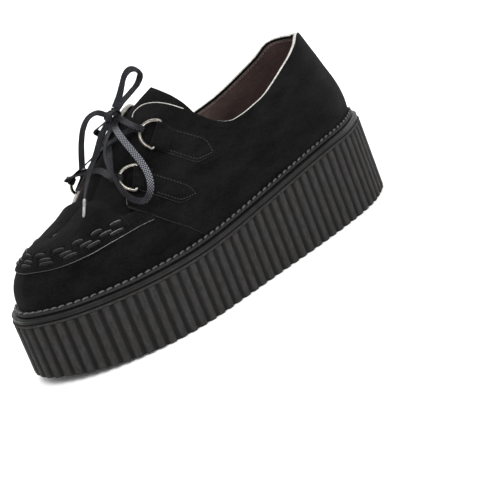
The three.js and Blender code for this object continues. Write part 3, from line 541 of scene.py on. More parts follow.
def lining_material():
    n = Nodes("red-brown lining")
    blotch = n.noise(28, 4, 0.6)
    pores = n.cells(1300)
    wrinkle = n.noise(240, 4, 0.6, stretch=(1.0, 1.0, 1.7))
    # painted shade: the lining is darker towards the back of the heel and lighter towards the front
    front = n.spread(n.along_shoe(), -0.11, 0.0)
    low = n.mix(front, (0.020, 0.0125, 0.0115), (0.040, 0.026, 0.023))
    high = n.mix(front, (0.050, 0.030, 0.027), (0.115, 0.077, 0.069))
    tone = n.mix(n.spread(blotch, 0.35, 0.68), low, high)
    color = n.mix(n.spread(wrinkle, 0.55, 0.8, 0.0, 0.35), tone, (0.15, 0.105, 0.095))
    normal = n.bump(pores, 0.0002, 0.35, n.bump(wrinkle, 0.0006, 0.5))
    return n.finish(color, n.spread(blotch, 0.3, 0.7, 0.55, 0.42), normal, Specular_IOR_Level=0.4)


def footbed_material():
    n = Nodes("footbed leather")
    blotch = n.noise(22, 4, 0.6)
    pores = n.cells(1100)
    color = n.mix(n.spread(blotch, 0.35, 0.68), (0.018, 0.012, 0.011), (0.055, 0.036, 0.032))
    return n.finish(color, 0.6, n.bump(pores, 0.0002, 0.4), Specular_IOR_Level=0.35)


def sole_material():
    n = Nodes("dark crepe sole")
    fine = n.noise(1500, 3, 0.7)
    crumb = n.noise(420, 4, 0.65, stretch=(1.0, 1.0, 0.5))
    tint = n.noise(70, 2, 0.5)
    groove_depth_and_shade = n.spread(n.value("groove_depth_and_shade"), 0.15, 0.95)
    warm = n.mix(n.spread(tint, 0.35, 0.65), (0.0235, 0.0226, 0.019), (0.0275, 0.025, 0.0272))
    grain = n.math("ADD", n.math("MULTIPLY", fine, 0.45), n.math("MULTIPLY", crumb, 0.55))
    body = n.mix(n.spread(grain, 0.38, 0.62), (0.0085, 0.0082, 0.0078), warm)
    # painted shade: the grooves between the ribs and the foot of the bead are painted near-black
    color = n.mix(groove_depth_and_shade, body, (0.0026, 0.0025, 0.0026))
    normal = n.bump(fine, 0.0006, 0.8, n.bump(crumb, 0.0014, 0.7))
    return n.finish(color, 0.82, normal, Specular_IOR_Level=0.25)


def band_material():
    n = Nodes("satin midsole")
    grain = n.noise(900, 3, 0.6)
    streak = n.noise(120, 4, 0.6)
    shade = n.math("ADD", n.math("MULTIPLY", grain, 0.5), n.math("MULTIPLY", streak, 0.5))
    color = n.mix(n.spread(shade, 0.36, 0.66), (0.0016, 0.0016, 0.0018), (0.008, 0.008, 0.0088))
    rough = n.spread(streak, 0.3, 0.7, 0.52, 0.36)
    return n.finish(color, rough, n.bump(grain, 0.0004, 0.5), Specular_IOR_Level=0.16)


def nickel_material():
    n = Nodes("polished nickel")
    haze = n.noise(300, 3, 0.6)
    scratch = n.noise(900, 2, 0.5, stretch=(1.0, 0.15, 1.0))
    color = n.mix(n.spread(haze, 0.35, 0.7), (0.13, 0.12, 0.107), (0.30, 0.28, 0.25))
    rough = n.spread(scratch, 0.3, 0.75, 0.16, 0.3)
    return n.finish(color, rough, n.bump(scratch, 0.0001, 0.15), metallic=1.0)


def lace_material():
    n = Nodes("flat woven lace")
    along, across = n.math("MULTIPLY", n.value("along"), 3.6), n.math("MULTIPLY", n.value("across"), 4.0)
    ribs = [n.math("SINE", n.math(kind, along, across)) for kind in ("ADD", "SUBTRACT")]
    weave = n.math("ADD", n.math("MULTIPLY", n.math("ADD", *ribs), 0.25), 0.5)
    fuzz = n.noise(1600, 3, 0.7)
    patch = n.noise(110, 3, 0.55)
    both = n.math("ADD", n.math("MULTIPLY", weave, 0.6), n.math("MULTIPLY", fuzz, 0.4))
    light = n.mix(n.spread(patch, 0.35, 0.65), (0.012, 0.012, 0.0135), (0.032, 0.033, 0.040))
    # painted highlight: where the lit value is 1 the lace is painted a pale grey-blue shine
    lit = n.mix(n.value("lit"), light, (0.19, 0.195, 0.22))
    color = n.mix(n.spread(both, 0.36, 0.66), (0.002, 0.002, 0.0024), lit)
    normal = n.bump(weave, 0.0007, 0.8, n.bump(fuzz, 0.0003, 0.5))
    return n.finish(color, 0.5, normal, Specular_IOR_Level=0.1)


SUEDE = suede_material()
STRIP = strip_material()
# suede edge a little lighter than the suede: a painted faint highlight
SUEDE_EDGE_HIGHLIGHT = grained("suede edge with painted highlight", 800, 0.6, (0.36, 0.64), (0.004, 0.004, 0.0044), (0.03, 0.0295, 0.03),
                    0.7, (0.0003, 0.6), Specular_IOR_Level=0.3)
PALE_EDGE = grained("pale cut edge", 700, 0.65, (0.35, 0.65), (0.20, 0.19, 0.17), (0.50, 0.485, 0.45),
                    0.5, (0.0004, 0.6), Specular_IOR_Level=0.5)
# grey cut edge of the apron, also used on the woven strips as a painted highlight
GREY_EDGE_AND_STRIP_HIGHLIGHT = grey_edge_and_highlight_material()
LINING_LEATHER = lining_material()
FOOTBED = footbed_material()
SOLE = sole_material()
BAND = band_material()
WELT = grained("black welt leather", 800, 0.6, (0.35, 0.65), (0.002, 0.002, 0.0022), (0.009, 0.009, 0.0096),
               0.62, (0.0004, 0.6), Specular_IOR_Level=0.25)
WELT_THREAD = thread_material("waxed welt thread", (0.010, 0.010, 0.011), (0.082, 0.080, 0.078), 0.45)
BLACK_THREAD = thread_material("black thread", (0.004, 0.004, 0.0045), (0.026, 0.026, 0.028))
BROWN_THREAD = thread_material("brown thread", (0.05, 0.03, 0.026), (0.20, 0.13, 0.11))
NICKEL = nickel_material()
LACE = lace_material()
AGLET = grained("clear film tip", 500, 0.6, (0.35, 0.65), (0.13, 0.13, 0.133), (0.33, 0.325, 0.315),
                0.22, (0.0003, 0.5), Coat_Weight=0.6, Coat_Roughness=0.1)


# Meshes
def piece(name, points, faces, materials, slot, replaces=(), indices=None, values=None, weld=False):
    mesh = bpy.data.meshes.new(name)
    mesh.from_pydata(metres(points).tolist(), [], [tuple(int(i) for i in f) for f in faces])
    materials = materials if isinstance(materials, (list, tuple)) else [materials]
    for material in materials:
        mesh.materials.append(material)
    if indices is not None:
        mesh.polygons.foreach_set("material_index", np.asarray(indices, np.int32))
    mesh.polygons.foreach_set("use_smooth", np.full(len(mesh.polygons), True))
    for key, data in (values or {}).items():
        attribute = mesh.attributes.new(key, "FLOAT", "POINT")
        attribute.data.foreach_set("value", np.asarray(data, np.float32))
    if weld:
        b = bmesh.new()
        b.from_mesh(mesh)
        bmesh.ops.remove_doubles(b, verts=b.verts, dist=2e-6)
        b.to_mesh(mesh)
        b.free()
    mesh.update()
    obj = bpy.data.objects.new(name, mesh)
    scene.collection.objects.link(obj)
    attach(obj, "root")
    if replaces:
        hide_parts(*replaces)
    return obj


class Parts:
    """Meshes gathered into one piece."""

    def __init__(self):
        self.points, self.faces, self.indices, self.values = [], [], [], {}
        self.count = 0

    def add(self, points, faces, index=0, values=None):
        points = np.asarray(points, float).reshape(-1, 3)
        self.faces += [tuple(i + self.count for i in f) for f in faces]
        self.indices += index if isinstance(index, list) else [index] * len(faces)
        for key, data in (values or {}).items():
            self.values.setdefault(key, []).append((self.count, np.asarray(data, float).ravel()))
        self.points.append(points)
        self.count += len(points)

    def done(self, name, materials, slot, replaces=(), weld=False):
        values = {}
        for key, chunks in self.values.items():
            full = np.zeros(self.count)
            for start, data in chunks:
                full[start:start + len(data)] = data
            values[key] = full
        return piece(name, np.concatenate(self.points), self.faces, materials, slot, replaces,
                     self.indices, values, weld)


def tube_faces(rings, sides, closed=False):
    faces = []
    for i in range(rings if closed else rings - 1):
        a, b = i * sides, ((i + 1) % rings) * sides
        for k in range(sides):
            m = (k + 1) % sides
            faces.append((a + k, a + m, b + m, b + k))
    if not closed:
        faces.append(tuple(range(sides))[::-1])
        faces.append(tuple(range((rings - 1) * sides, rings * sides)))
    return faces


def frames(path, ups, closed=False):
    """Ups square to a path, and the sides that go with them."""
    if closed:
        tangent = unit(np.roll(path, -1, 0) - np.roll(path, 1, 0))
    else:
        tangent = unit(np.gradient(path, axis=0))
    ups = unit(ups - tangent * (ups * tangent).sum(-1, keepdims=True))
    return ups, np.cross(tangent, ups)


def sweep(path, section, ups, closed=False, scale=None):
    """Points and faces of a section, rows of (across, up), carried along a path."""
    section = np.asarray(section, float)
    up, side = frames(path, ups, closed)
    s = np.ones(len(path)) if scale is None else np.asarray(scale, float)
    points = (path[:, None] + side[:, None] * section[None, :, :1] * s[:, None, None]
              + up[:, None] * section[None, :, 1:] * s[:, None, None])
    return points.reshape(-1, 3), tube_faces(len(path), len(section), closed)


def circle(radius, sides, squash=1.0):
    a = np.arange(sides) * TAU / sides
    return np.stack([np.cos(a) * radius, np.sin(a) * radius * squash], -1)


def polygon_distance(points, polygon):
    """Distance of 2-D points to a closed polygon's outline, positive inside it."""
    a, b = polygon, np.roll(polygon, -1, 0)
    keep = np.linalg.norm(b - a, axis=1) > 1e-9
    a, b = a[keep], b[keep]
    out = np.empty(len(points))
    d = b - a
    for start in range(0, len(points), 4000):
        p = points[start:start + 4000, None]
        t = np.clip(((p - a) * d).sum(-1) / (d * d).sum(-1), 0, 1)
        near = np.linalg.norm(p - a - t[..., None] * d, axis=-1).min(1)
        crosses = (a[:, 1] > p[..., 1]) != (b[:, 1] > p[..., 1])
        with np.errstate(divide="ignore", invalid="ignore"):
            x = a[:, 0] + (p[..., 1] - a[:, 1]) * d[:, 0] / d[:, 1]
        inside = (crosses & (p[..., 0] < x)).sum(1) % 2 == 1
        out[start:start + 4000] = np.where(inside, near, -near)
    return out


def side_line(rows, step=1.5):
    return catmull(side_points(rows), step)


BACK_Y, FRONT_Y, SKY_Z = -0.6 * LAST_LENGTH, 0.6 * LAST_LENGTH, HEEL_PLATFORM + 2 * INSTEP_HEIGHT


class Sheet:
    """Part of the last's surface, cut where a distance turns negative, as places (theta, v)."""

    def __init__(self, thetas, vs, distance, reference=0.0):
        theta, v = np.meshgrid(thetas, vs, indexing="ij")
        offset = reference(last_point(theta, v)) if callable(reference) else reference
        f = distance(on_last(theta, v, offset).reshape(-1, 3), theta.ravel()).reshape(theta.shape)
        f = np.where(np.abs(f) < 0.02, 0.02, f)
        self.top = vs[-1]
        self.theta, self.v, self.f, self.faces = self.cut(theta, v, f)
        p, n = last_point(self.theta, self.v), last_normal(self.theta, self.v)
        votes = 0
        for face in self.faces[::max(1, len(self.faces) // 50)]:
            a, b, c = face[:3]
            votes += 1 if np.dot(np.cross(p[b] - p[a], p[c] - p[a]), n[a]) > 0 else -1
        if votes < 0:
            self.faces = [tuple(face[::-1]) for face in self.faces]

    @staticmethod
    def cut(theta, v, f):
        inside = f > 0
        ids = np.full(f.shape, -1)
        ids[inside] = np.arange(inside.sum())
        data = [np.stack([theta[inside], v[inside], f[inside]], -1)]
        count = int(inside.sum())
        crossings, extra = {}, []
        full = inside[:-1, :-1] & inside[1:, :-1] & inside[1:, 1:] & inside[:-1, 1:]
        part = (inside[:-1, :-1] | inside[1:, :-1] | inside[1:, 1:] | inside[:-1, 1:]) & ~full
        i, j = np.nonzero(full)
        faces = np.stack([ids[i, j], ids[i + 1, j], ids[i + 1, j + 1], ids[i, j + 1]], -1).tolist()
        for i, j in zip(*(c.tolist() for c in np.nonzero(part))):
            corners = [(i, j), (i + 1, j), (i + 1, j + 1), (i, j + 1)]
            polygon = []
            for k in range(4):
                a, b = corners[k], corners[(k + 1) % 4]
                if inside[a]:
                    polygon.append(int(ids[a]))
                if inside[a] != inside[b]:
                    key = (min(a, b), max(a, b))
                    if key not in crossings:
                        p, q = key
                        t = f[p] / (f[p] - f[q])
                        extra.append([theta[p] + (theta[q] - theta[p]) * t, v[p] + (v[q] - v[p]) * t, 0.0])
                        crossings[key] = count + len(extra) - 1
                    polygon.append(crossings[key])
            if len(polygon) > 2:
                faces.append(polygon)
        if extra:
            data.append(np.array(extra))
        data = np.concatenate(data)
        return data[:, 0], data[:, 1], data[:, 2], faces

    def edges(self):
        """Boundary edges, with the sheet on their left, except where both sides of the shoe meet."""
        seen = {(face[k - 1], face[k]) for face in self.faces for k in range(len(face))}
        meet = self.v > self.top - 1e-9 if self.top >= 1 else np.zeros(len(self.v), bool)
        return [(a, b) for a, b in seen if (b, a) not in seen and not (meet[a] and meet[b])]

    def boundary(self):
        """Boundary lines as lists of vertex numbers, each run the whole way."""
        follow = dict(self.edges())
        starts = set(follow) - set(follow.values())
        lines = []
        while follow:
            a = next(iter(starts)) if starts else next(iter(follow))
            starts.discard(a)
            line = [a]
            while a in follow:
                a = follow.pop(a)
                line.append(a)
            lines.append(line)
        return lines

    def solid(self, outer, inner, bulge=0.4, steps=3):
        """Closed mesh between two offsets, with a rounded rim: face indices 0 out, 1 rim, 2 in."""
        base, normal = last_point(self.theta, self.v), last_normal(self.theta, self.v)
        top = base + normal * np.broadcast_to(np.asarray(outer, float), self.theta.shape)[:, None]
        low = base + normal * np.broadcast_to(np.asarray(inner, float), self.theta.shape)[:, None]
        n = len(base)
        points = [top, low]
        faces = [tuple(face) for face in self.faces]
        faces += [tuple(i + n for i in face[::-1]) for face in self.faces]
        indices = [0] * len(self.faces) + [2] * len(self.faces)
        edges = self.edges()
        rim = sorted({i for e in edges for i in e})
        where = {i: k for k, i in enumerate(rim)}
        out = np.zeros((len(rim), 3))
        for a, b in edges:
            d = np.cross(top[b] - top[a], normal[a])
            out[where[a]] += d
            out[where[b]] += d
        out = unit(out)
        rings = [np.array(rim)]
        for k in range(1, steps + 1):
            t = k / (steps + 1)
            points.append(top[rim] * (1 - t) + low[rim] * t + out * bulge * math.sin(math.pi * t) ** 0.7)
            rings.append(2 * n + (k - 1) * len(rim) + np.arange(len(rim)))
        rings.append(np.array(rim) + n)
        for a, b in edges:
            for p, q in zip(rings, rings[1:]):
                faces.append((int(p[where[b]]), int(p[where[a]]), int(q[where[a]]), int(q[where[b]])))
                indices.append(1)
        return np.concatenate(points), faces, indices


# Sheets of the upper
def spread_angles(step):
    """Angles from heel to toe at even steps along the mean of both sides."""
    fine = np.linspace(0, math.pi, 1500)
    mid = (last_point(fine, 0.35) + last_point(-fine, 0.35) * [-1, 1, 1]) / 2
    lengths = way(mid)
    count = int(lengths[-1] / step)
    return np.interp(np.linspace(0, lengths[-1], count + 1), lengths, fine)


def angles_between(step, low, high):
    """Symmetric angles over both sides: round the heel up to high, or round the toe from low."""
    half = spread_angles(step)
    if low is None:
        half = half[half <= high]
        return np.concatenate([-half[:0:-1], half])
    half = half[half >= low]
    return np.concatenate([half[:-1], TAU - half[::-1]])


def side_of(points):
    return points[:, 1:]


def side_shares(p):
    """Along and rise of points, as shares of LAST_LENGTH and INSTEP_HEIGHT."""
    return p[..., 1] / LAST_LENGTH + 0.5, (p[..., 2] - deck_height(p[..., 1])) / INSTEP_HEIGHT


OUTER_TOP = np.concatenate([side_line(OUTER_COLLAR), side_line(FACING)[1:], side_line(SEAM)[1:]])
INNER_TOP = np.concatenate([side_line(INNER_COLLAR), side_line(FACING)[1:], side_line(SEAM)[1:]])
THROAT_Y = (THROAT - 0.5) * LAST_LENGTH
VAMP_TOP = [
    (0.565, 0.010), (0.607, 0.136), (0.646, 0.237), (0.676, 0.300), (0.700, 0.345), (0.722, 0.362),
    (0.745, 0.368), (0.783, 0.370),
]


def quarter_distance(points, theta):
    out = np.empty(len(points))
    for line, chosen in ((OUTER_TOP, wrap(theta) < 0), (INNER_TOP, wrap(theta) >= 0)):
        y, z = line[-1] - [0, 20]
        polygon = np.concatenate([[[BACK_Y, line[0, 1]]], line, [[y, z], [BACK_Y, z]]])
        out[chosen] = polygon_distance(side_of(points[chosen]), polygon)
    return out


APRON_LINE = side_line(APRON_EDGE)
JOIN_Y = THROAT_Y - 4
JOIN_Z = float(deck_height(JOIN_Y) + 0.379 * INSTEP_HEIGHT)


def apron_polygon():
    seam = side_line(SEAM[:3])[::-1] + [4 * GAP, 0]
    seam = seam[seam[:, 1] < JOIN_Z]
    edge = APRON_LINE[APRON_LINE[:, 0] > seam[0, 0]][::-1]
    return np.concatenate([edge, seam[1:], [[seam[-1, 0], JOIN_Z], [JOIN_Y, JOIN_Z], [JOIN_Y, SKY_Z],
                                            [FRONT_Y, SKY_Z]]])


def tongue_polygon():
    side = side_line(TONGUE_SIDE)
    side = side[side[:, 0] < JOIN_Y]
    return np.concatenate([[[JOIN_Y + 0.5, SKY_Z], [JOIN_Y + 0.5, side[0, 1]]], side,
                           side_line(TONGUE_TOP)[1:], [[BACK_Y, SKY_Z]]])


APRON_POLYGON = apron_polygon()
TONGUE_POLYGON = tongue_polygon()
VAMP_LINE = side_line(VAMP_TOP)
VAMP_POLYGON = np.concatenate([VAMP_LINE, [[THROAT_Y, SKY_Z], [FRONT_Y, SKY_Z], [FRONT_Y, 0],
                                           [VAMP_LINE[0, 0] - 1, 0]]])


def apron_distance(points, theta):
    p = side_of(points)
    return np.maximum(polygon_distance(p, APRON_POLYGON), polygon_distance(p, TONGUE_POLYGON))


def vamp_distance(points, theta):
    p = side_of(points)
    under = np.minimum(UNDER_QUARTER - quarter_distance(points, theta),
                       UNDER_APRON - polygon_distance(p, APRON_POLYGON))
    return np.minimum(under, polygon_distance(p, VAMP_POLYGON))


# Soft troughs and ridges: side (0 for both), from, to, width and depth in mm
CREASES = [
    (-1, (0.640, 0.330), (0.560, 0.200), 5.0, -0.55),
    (-1, (0.560, 0.360), (0.470, 0.240), 7.0, -0.45),
    (0, (0.430, 0.500), (0.400, 0.250), 8.0, -0.55),
    (0, (0.300, 0.470), (0.330, 0.230), 9.0, -0.45),
    (0, (0.050, 0.360), (0.200, 0.330), 10.0, -0.50),
    (0, (0.090, 0.160), (0.260, 0.130), 9.0, 0.45),
    (-1, (0.760, 0.240), (0.700, 0.110), 6.0, -0.50),
    (1, (0.740, 0.240), (0.690, 0.120), 6.0, -0.50),
    (0, (0.800, 0.190), (0.860, 0.150), 7.0, -0.35),
    (-1, (0.500, 0.720), (0.470, 0.560), 5.0, -0.40),
]


def crease_offset(theta, v):
    p = last_point(theta, v)
    out = np.zeros(len(p))
    for side, start, end, width, depth in CREASES:
        a, b = side_points([start, end])
        d = b - a
        t = np.clip(((p[:, 1:] - a) @ d) / (d @ d), 0, 1)
        near = np.linalg.norm(p[:, 1:] - a - t[:, None] * d, axis=1)
        share = 1.0 if side == 0 else smooth(side * np.sin(theta) * 6)
        out += depth * share * np.exp(-(near / width) ** 2)
    return out


def stitch(parts, a, b, up, radius, sides):
    """One thread stitch from a to b as a capsule, a little sunk at both ends."""
    t = np.array([0.0, 0.06, 0.25, 0.5, 0.75, 0.94, 1.0])
    size = np.array([0.30, 0.72, 0.97, 1.0, 0.97, 0.72, 0.30])
    lift = 0.45 * radius * np.sin(math.pi * t)
    path = a + (b - a) * t[:, None] + up * (lift[:, None])
    parts.add(*sweep(path, circle(radius, sides), np.repeat(up[None], len(t), 0), scale=size))


def stitch_row(parts, line, normals, pitch, length, radius, slant=0.0, sides=6):
    lengths = way(line)
    at = np.arange(pitch / 2, lengths[-1] - length / 2, pitch)

    def place(s):
        return (np.array([np.interp(s, lengths, line[:, k]) for k in range(3)]),
                unit(np.array([np.interp(s, lengths, normals[:, k]) for k in range(3)])))

    for s in at:
        a, up = place(s - length / 2)
        b, _ = place(s + length / 2)
        across = unit(np.cross(up, b - a)) * slant
        stitch(parts, a - across, b + across, up, radius, sides)


def rim_lines(sheet, keep, inset, lift, step=1.0):
    """Smooth lines beside a sheet's boundary, where keep says so, with the surface's normals."""
    out = []
    for ids in sheet.boundary():
        ids = np.array(ids)
        p, n = last_point(sheet.theta[ids], sheet.v[ids]), last_normal(sheet.theta[ids], sheet.v[ids])
        good = keep(p, sheet.theta[ids])
        start = 0
        while start < len(ids):
            end = start
            while end < len(ids) and good[end]:
                end += 1
            if end - start > 8:
                rows = np.concatenate([p[start:end], n[start:end]], 1)
                steps = way(rows[:, :3])
                at = np.arange(0, steps[-1], step)
                rows = np.stack([np.interp(at, steps, rows[:, k]) for k in range(6)], -1)
                for _ in range(4):
                    rows[1:-1] = (rows[:-2] + 2 * rows[1:-1] + rows[2:]) / 4
                q, m = rows[:, :3], unit(rows[:, 3:])
                inward = unit(np.cross(m, unit(np.gradient(q, axis=0))))
                out.append((q + inward * inset + m * lift, m))
            start = max(end, start + 1)
    return out


def make_quarters():
    sheet = Sheet(angles_between(1.25, None, float(angle_at(0.80))), np.linspace(0, 1, 78), quarter_distance)
    outer = QUARTER_STEP + crease_offset(sheet.theta, sheet.v)
    outer -= 0.35 * np.exp(-np.maximum(sheet.f, 0) / 1.2)
    points, faces, indices = sheet.solid(outer, -WALL + LINING, bulge=0.25)
    front = (0.600 - 0.5) * LAST_LENGTH
    # rims at the front and along the seam, outside the pale spot, take suede with a painted faint highlight;
    # the rest keep the pale cut edge
    for i, face in enumerate(faces):
        if indices[i] == 1:
            y = points[face[0], 1]
            along, rise = side_shares(points[face[0]])
            pale_spot = 0.70 < along < 0.745 and 0.432 < rise < 0.50
            dark = y > front or (rise < 0.46 and along > 0.58)
            indices[i] = 3 if dark and not pale_spot else 1
    piece("quarters", points, faces, [SUEDE, PALE_EDGE, SUEDE, SUEDE_EDGE_HIGHLIGHT], "suede", ["upper"], indices)
    edge = Parts()

    def on_facing(p, theta):
        along, rise = side_shares(p)
        return (along > 0.494) & (along < 0.594) & (rise > 0.74)

    for line, normal in rim_lines(sheet, on_facing, 0.1, QUARTER_STEP - 0.45):
        edge.add(*sweep(line, circle(0.34, 8), normal))
    edge.done("facing_edge", PALE_EDGE, "suede")


def make_vamp():
    sheet = Sheet(angles_between(1.25, float(angle_at(0.52)), None), np.linspace(0, 1, 64), vamp_distance)
    outer = crease_offset(sheet.theta, sheet.v)
    points, faces, _ = sheet.solid(outer, -WALL + LINING, bulge=0.1)
    piece("vamp", points, faces, SUEDE, "suede")


def make_lining():
    """Leather lining over the whole inside, from just below the collar, with its row of stitches."""
    def below_collar(p, theta):
        along, rise = side_shares(p)
        return quarter_distance(p, theta) - 1.9 * smooth((rise - 0.30) / 0.1) * smooth((0.60 - along) / 0.03)

    quarter = Sheet(angles_between(1.6, None, float(angle_at(0.80))), np.linspace(0, 1, 64), below_collar)
    points, faces, _ = quarter.solid(-WALL + LINING - 0.02, -WALL, bulge=0.12)
    piece("quarter_lining", points, faces, LINING_LEATHER, "suede")

    def front(p, theta):
        under = UNDER_QUARTER - quarter_distance(p, theta)
        return np.minimum(polygon_distance(side_of(p), VAMP_POLYGON), under)

    toe = Sheet(angles_between(1.8, float(angle_at(0.52)), None), np.linspace(0, 1, 46), front)
    points, faces, _ = toe.solid(-WALL + LINING - 0.05, -WALL - 0.1, bulge=0.1)
    piece("vamp_lining", points, faces, LINING_LEATHER, "suede", weld=True)
    threads = Parts()

    def on_collar(p, theta):
        along, rise = side_shares(p)
        return (along < 0.56) & (rise > 0.44)

    for line, normal in rim_lines(quarter, on_collar, 1.1, -WALL - 0.12):
        stitch_row(threads, line, -normal, **COLLAR_STITCHES)
    threads.done("topline_stitches", BROWN_THREAD, "suede")


# Apron and tongue in one, with the woven rows
def dip(y):
    return smooth((THROAT_Y - 1 - y) / 8)


APRON_TOP = APRON_GAP + APRON_HEIGHT


def tongue_share(p):
    """1 on the tongue, which lies under the quarters, and 0 on the apron and its wings."""
    return dip(p[..., 1]) * smooth((side_shares(p)[1] - 0.355) / 0.05)


def apron_outer(p):
    return APRON_TOP - tongue_share(p) * (APRON_TOP + TONGUE_DEPTH)


def row_path(lift):
    """Places along a woven row round the toe: theta, v and the point on the last."""
    edge = np.array(APRON_EDGE)
    start = float(angle_at(WEAVE_START - 0.03))
    theta = np.linspace(start, TAU - start, 700)
    low, high = np.full(700, 0.1), np.ones(700)
    for _ in range(26):
        mid = (low + high) / 2
        along, rise = side_shares(last_point(theta, mid))
        below = rise - curve(edge[:, 0], edge[:, 1], along) < lift
        low, high = np.where(below, mid, low), np.where(below, high, mid)
    p = last_point(theta, low)
    keep = p[:, 1] / LAST_LENGTH + 0.5 > WEAVE_START
    return theta[keep], low[keep], p[keep]


def strip_spans():
    """Start and end of each strip along its row, in mm."""
    for lift, first, pitch in WOVEN_ROWS:
        theta, v, p = row_path(lift)
        lengths = way(p)
        last = lengths[-1] - first - STRIP_SHARE * pitch
        count = int(round((last - first) / pitch)) + 1
        for start in np.linspace(first, last, count):
            yield theta, v, lengths, start, start + STRIP_SHARE * pitch


def make_strips():
    """Raised stretches of the woven strip, diving into the apron at both ends."""
    strips = Parts()
    ends = []
    rows, cols = 17, 11
    for theta, v, lengths, start, stop in strip_spans():
        s = np.linspace(start, stop, rows)
        centre = on_last(np.interp(s, lengths, theta), np.interp(s, lengths, v))
        n = last_normal(np.interp(s, lengths, theta), np.interp(s, lengths, v))
        along = unit(np.gradient(centre, axis=0))
        across = unit(np.cross(n, along))
        t = np.linspace(0, 1, rows)
        rise = APRON_TOP - 0.7 + 1.6 * np.sin(math.pi * t) ** 0.4
        width = STRIP_WIDTH * 0.43 * (0.86 + 0.14 * np.sin(math.pi * t) ** 0.5)
        b = np.linspace(-1, 1, cols)
        crown = np.sqrt(np.clip(1 - np.abs(b) ** 3.0, 0, 1))
        top = (centre[:, None] + across[:, None] * (b[None, :, None] * width[:, None, None])
               + n[:, None] * ((rise[:, None] - 1.1) + 1.1 * crown[None, :])[..., None])
        low = (centre[:, None] + across[:, None] * (b[None, ::-1, None] * width[:, None, None])
               + n[:, None] * (APRON_TOP - 1.3))
        ring = np.concatenate([top, low], 1)
        faces = tube_faces(rows, 2 * cols)
        # painted highlight: faces 7 to 9 of each ring, on one side of the strip's crown, take the grey edge
        # colour
        strips.add(ring, faces, [int(7 <= k % (2 * cols) <= 9) for k in range(len(faces))])
        ends += [(centre[0], along[0]), (centre[-1], along[-1])]
    strips.done("woven_strips", [STRIP, GREY_EDGE_AND_STRIP_HIGHLIGHT], "suede")
    return ends


def make_weave_edge():
    """Thin turned edge at both sides of the apron, behind the woven rows."""
    parts = Parts()
    for side in (-1, 1):
        rises = np.linspace(0.315, 0.39, 5)
        path = [on_last(*from_side(side, WEAVE_EDGE, rise), APRON_TOP - 0.1) for rise in rises]
        line = catmull(path, 0.8)
        ups = unit(line - [0, line[:, 1].mean() - 20, 40])
        parts.add(*sweep(line, circle(0.24, 8, 0.8), ups))
    parts.done("weave_edge", STRIP, "suede")


def make_apron(strip_ends):
    thetas = angles_between(0.95, float(angle_at(0.50)), None)
    vs = np.concatenate([np.linspace(0.2, 1, 96), np.linspace(1, 1 + BRIDGE, 5)[1:]])
    sheet = Sheet(thetas, vs, apron_distance, apron_outer)
    p = last_point(sheet.theta, sheet.v)
    d = tongue_share(p)
    outer = apron_outer(p)
    inner = APRON_GAP - 0.3 - d * (APRON_GAP - 0.3 + TONGUE_DEPTH + TONGUE_WALL)
    for centre, along in strip_ends:
        rel = p - centre
        a = rel @ along
        b2 = np.maximum((rel * rel).sum(1) - a * a, 0)
        outer -= 0.75 * np.exp(-(a / 0.8) ** 2) * np.exp(-(b2 / 1.8 ** 2) ** 2)
    cut = (WEAVE_EDGE - 0.5) * LAST_LENGTH - 1.0
    outer -= 0.6 * np.exp(-((p[:, 1] - cut) / 0.8) ** 2)
    outer -= 0.3 * np.exp(-np.maximum(sheet.f, 0) / 0.9)
    points, faces, indices = sheet.solid(outer, inner, bulge=0.2)
    rim_start, rim_steps = 2 * len(sheet.faces), 4
    for i in range(rim_start, len(faces)):
        y, z = points[faces[i][0]][1:]
        tongue = y < JOIN_Y - 8 and z > deck_height(y) + 0.306 * INSTEP_HEIGHT
        if tongue or (i - rim_start) % rim_steps > 1:
            indices[i] = 0
    piece("apron_and_tongue", points, faces, [SUEDE, GREY_EDGE_AND_STRIP_HIGHLIGHT, SUEDE], "suede", ["apron_tongue"],
          indices, weld=True)


# Sole
def level_ring(theta, reach, z):
    xy = outline_point(theta, reach)
    return np.concatenate([xy, z(xy[:, 1])[:, None]], 1)


def sole_angles(count):
    fine = np.linspace(-math.pi, math.pi, 4001)
    p = outline_point(fine, SOLE_REACH)
    lengths = way(p)
    return np.interp(np.arange(count) / count * lengths[-1], lengths, fine), lengths[-1]


def walls(rings, closed=False):
    """Faces between level rings of as many points each."""
    n = len(rings[0])
    faces = []
    for k in range(len(rings) if closed else len(rings) - 1):
        q = (k + 1) % len(rings)
        for j in range(n):
            m = (j + 1) % n
            faces.append((k * n + j, k * n + m, q * n + m, q * n + j))
    return faces


def stack(rings):
    """Level rings joined by walls, with strips from side to side across both ends."""
    n = len(rings[0])
    faces = walls(rings)
    last = (len(rings) - 1) * n
    for j in range(n // 2):
        facing, after = (n - j) % n, n - j - 1
        for face in ((facing, after, j + 1, j), (last + j, last + j + 1, last + after, last + facing)):
            faces.append(tuple(dict.fromkeys(face)))
    return np.concatenate(rings), faces


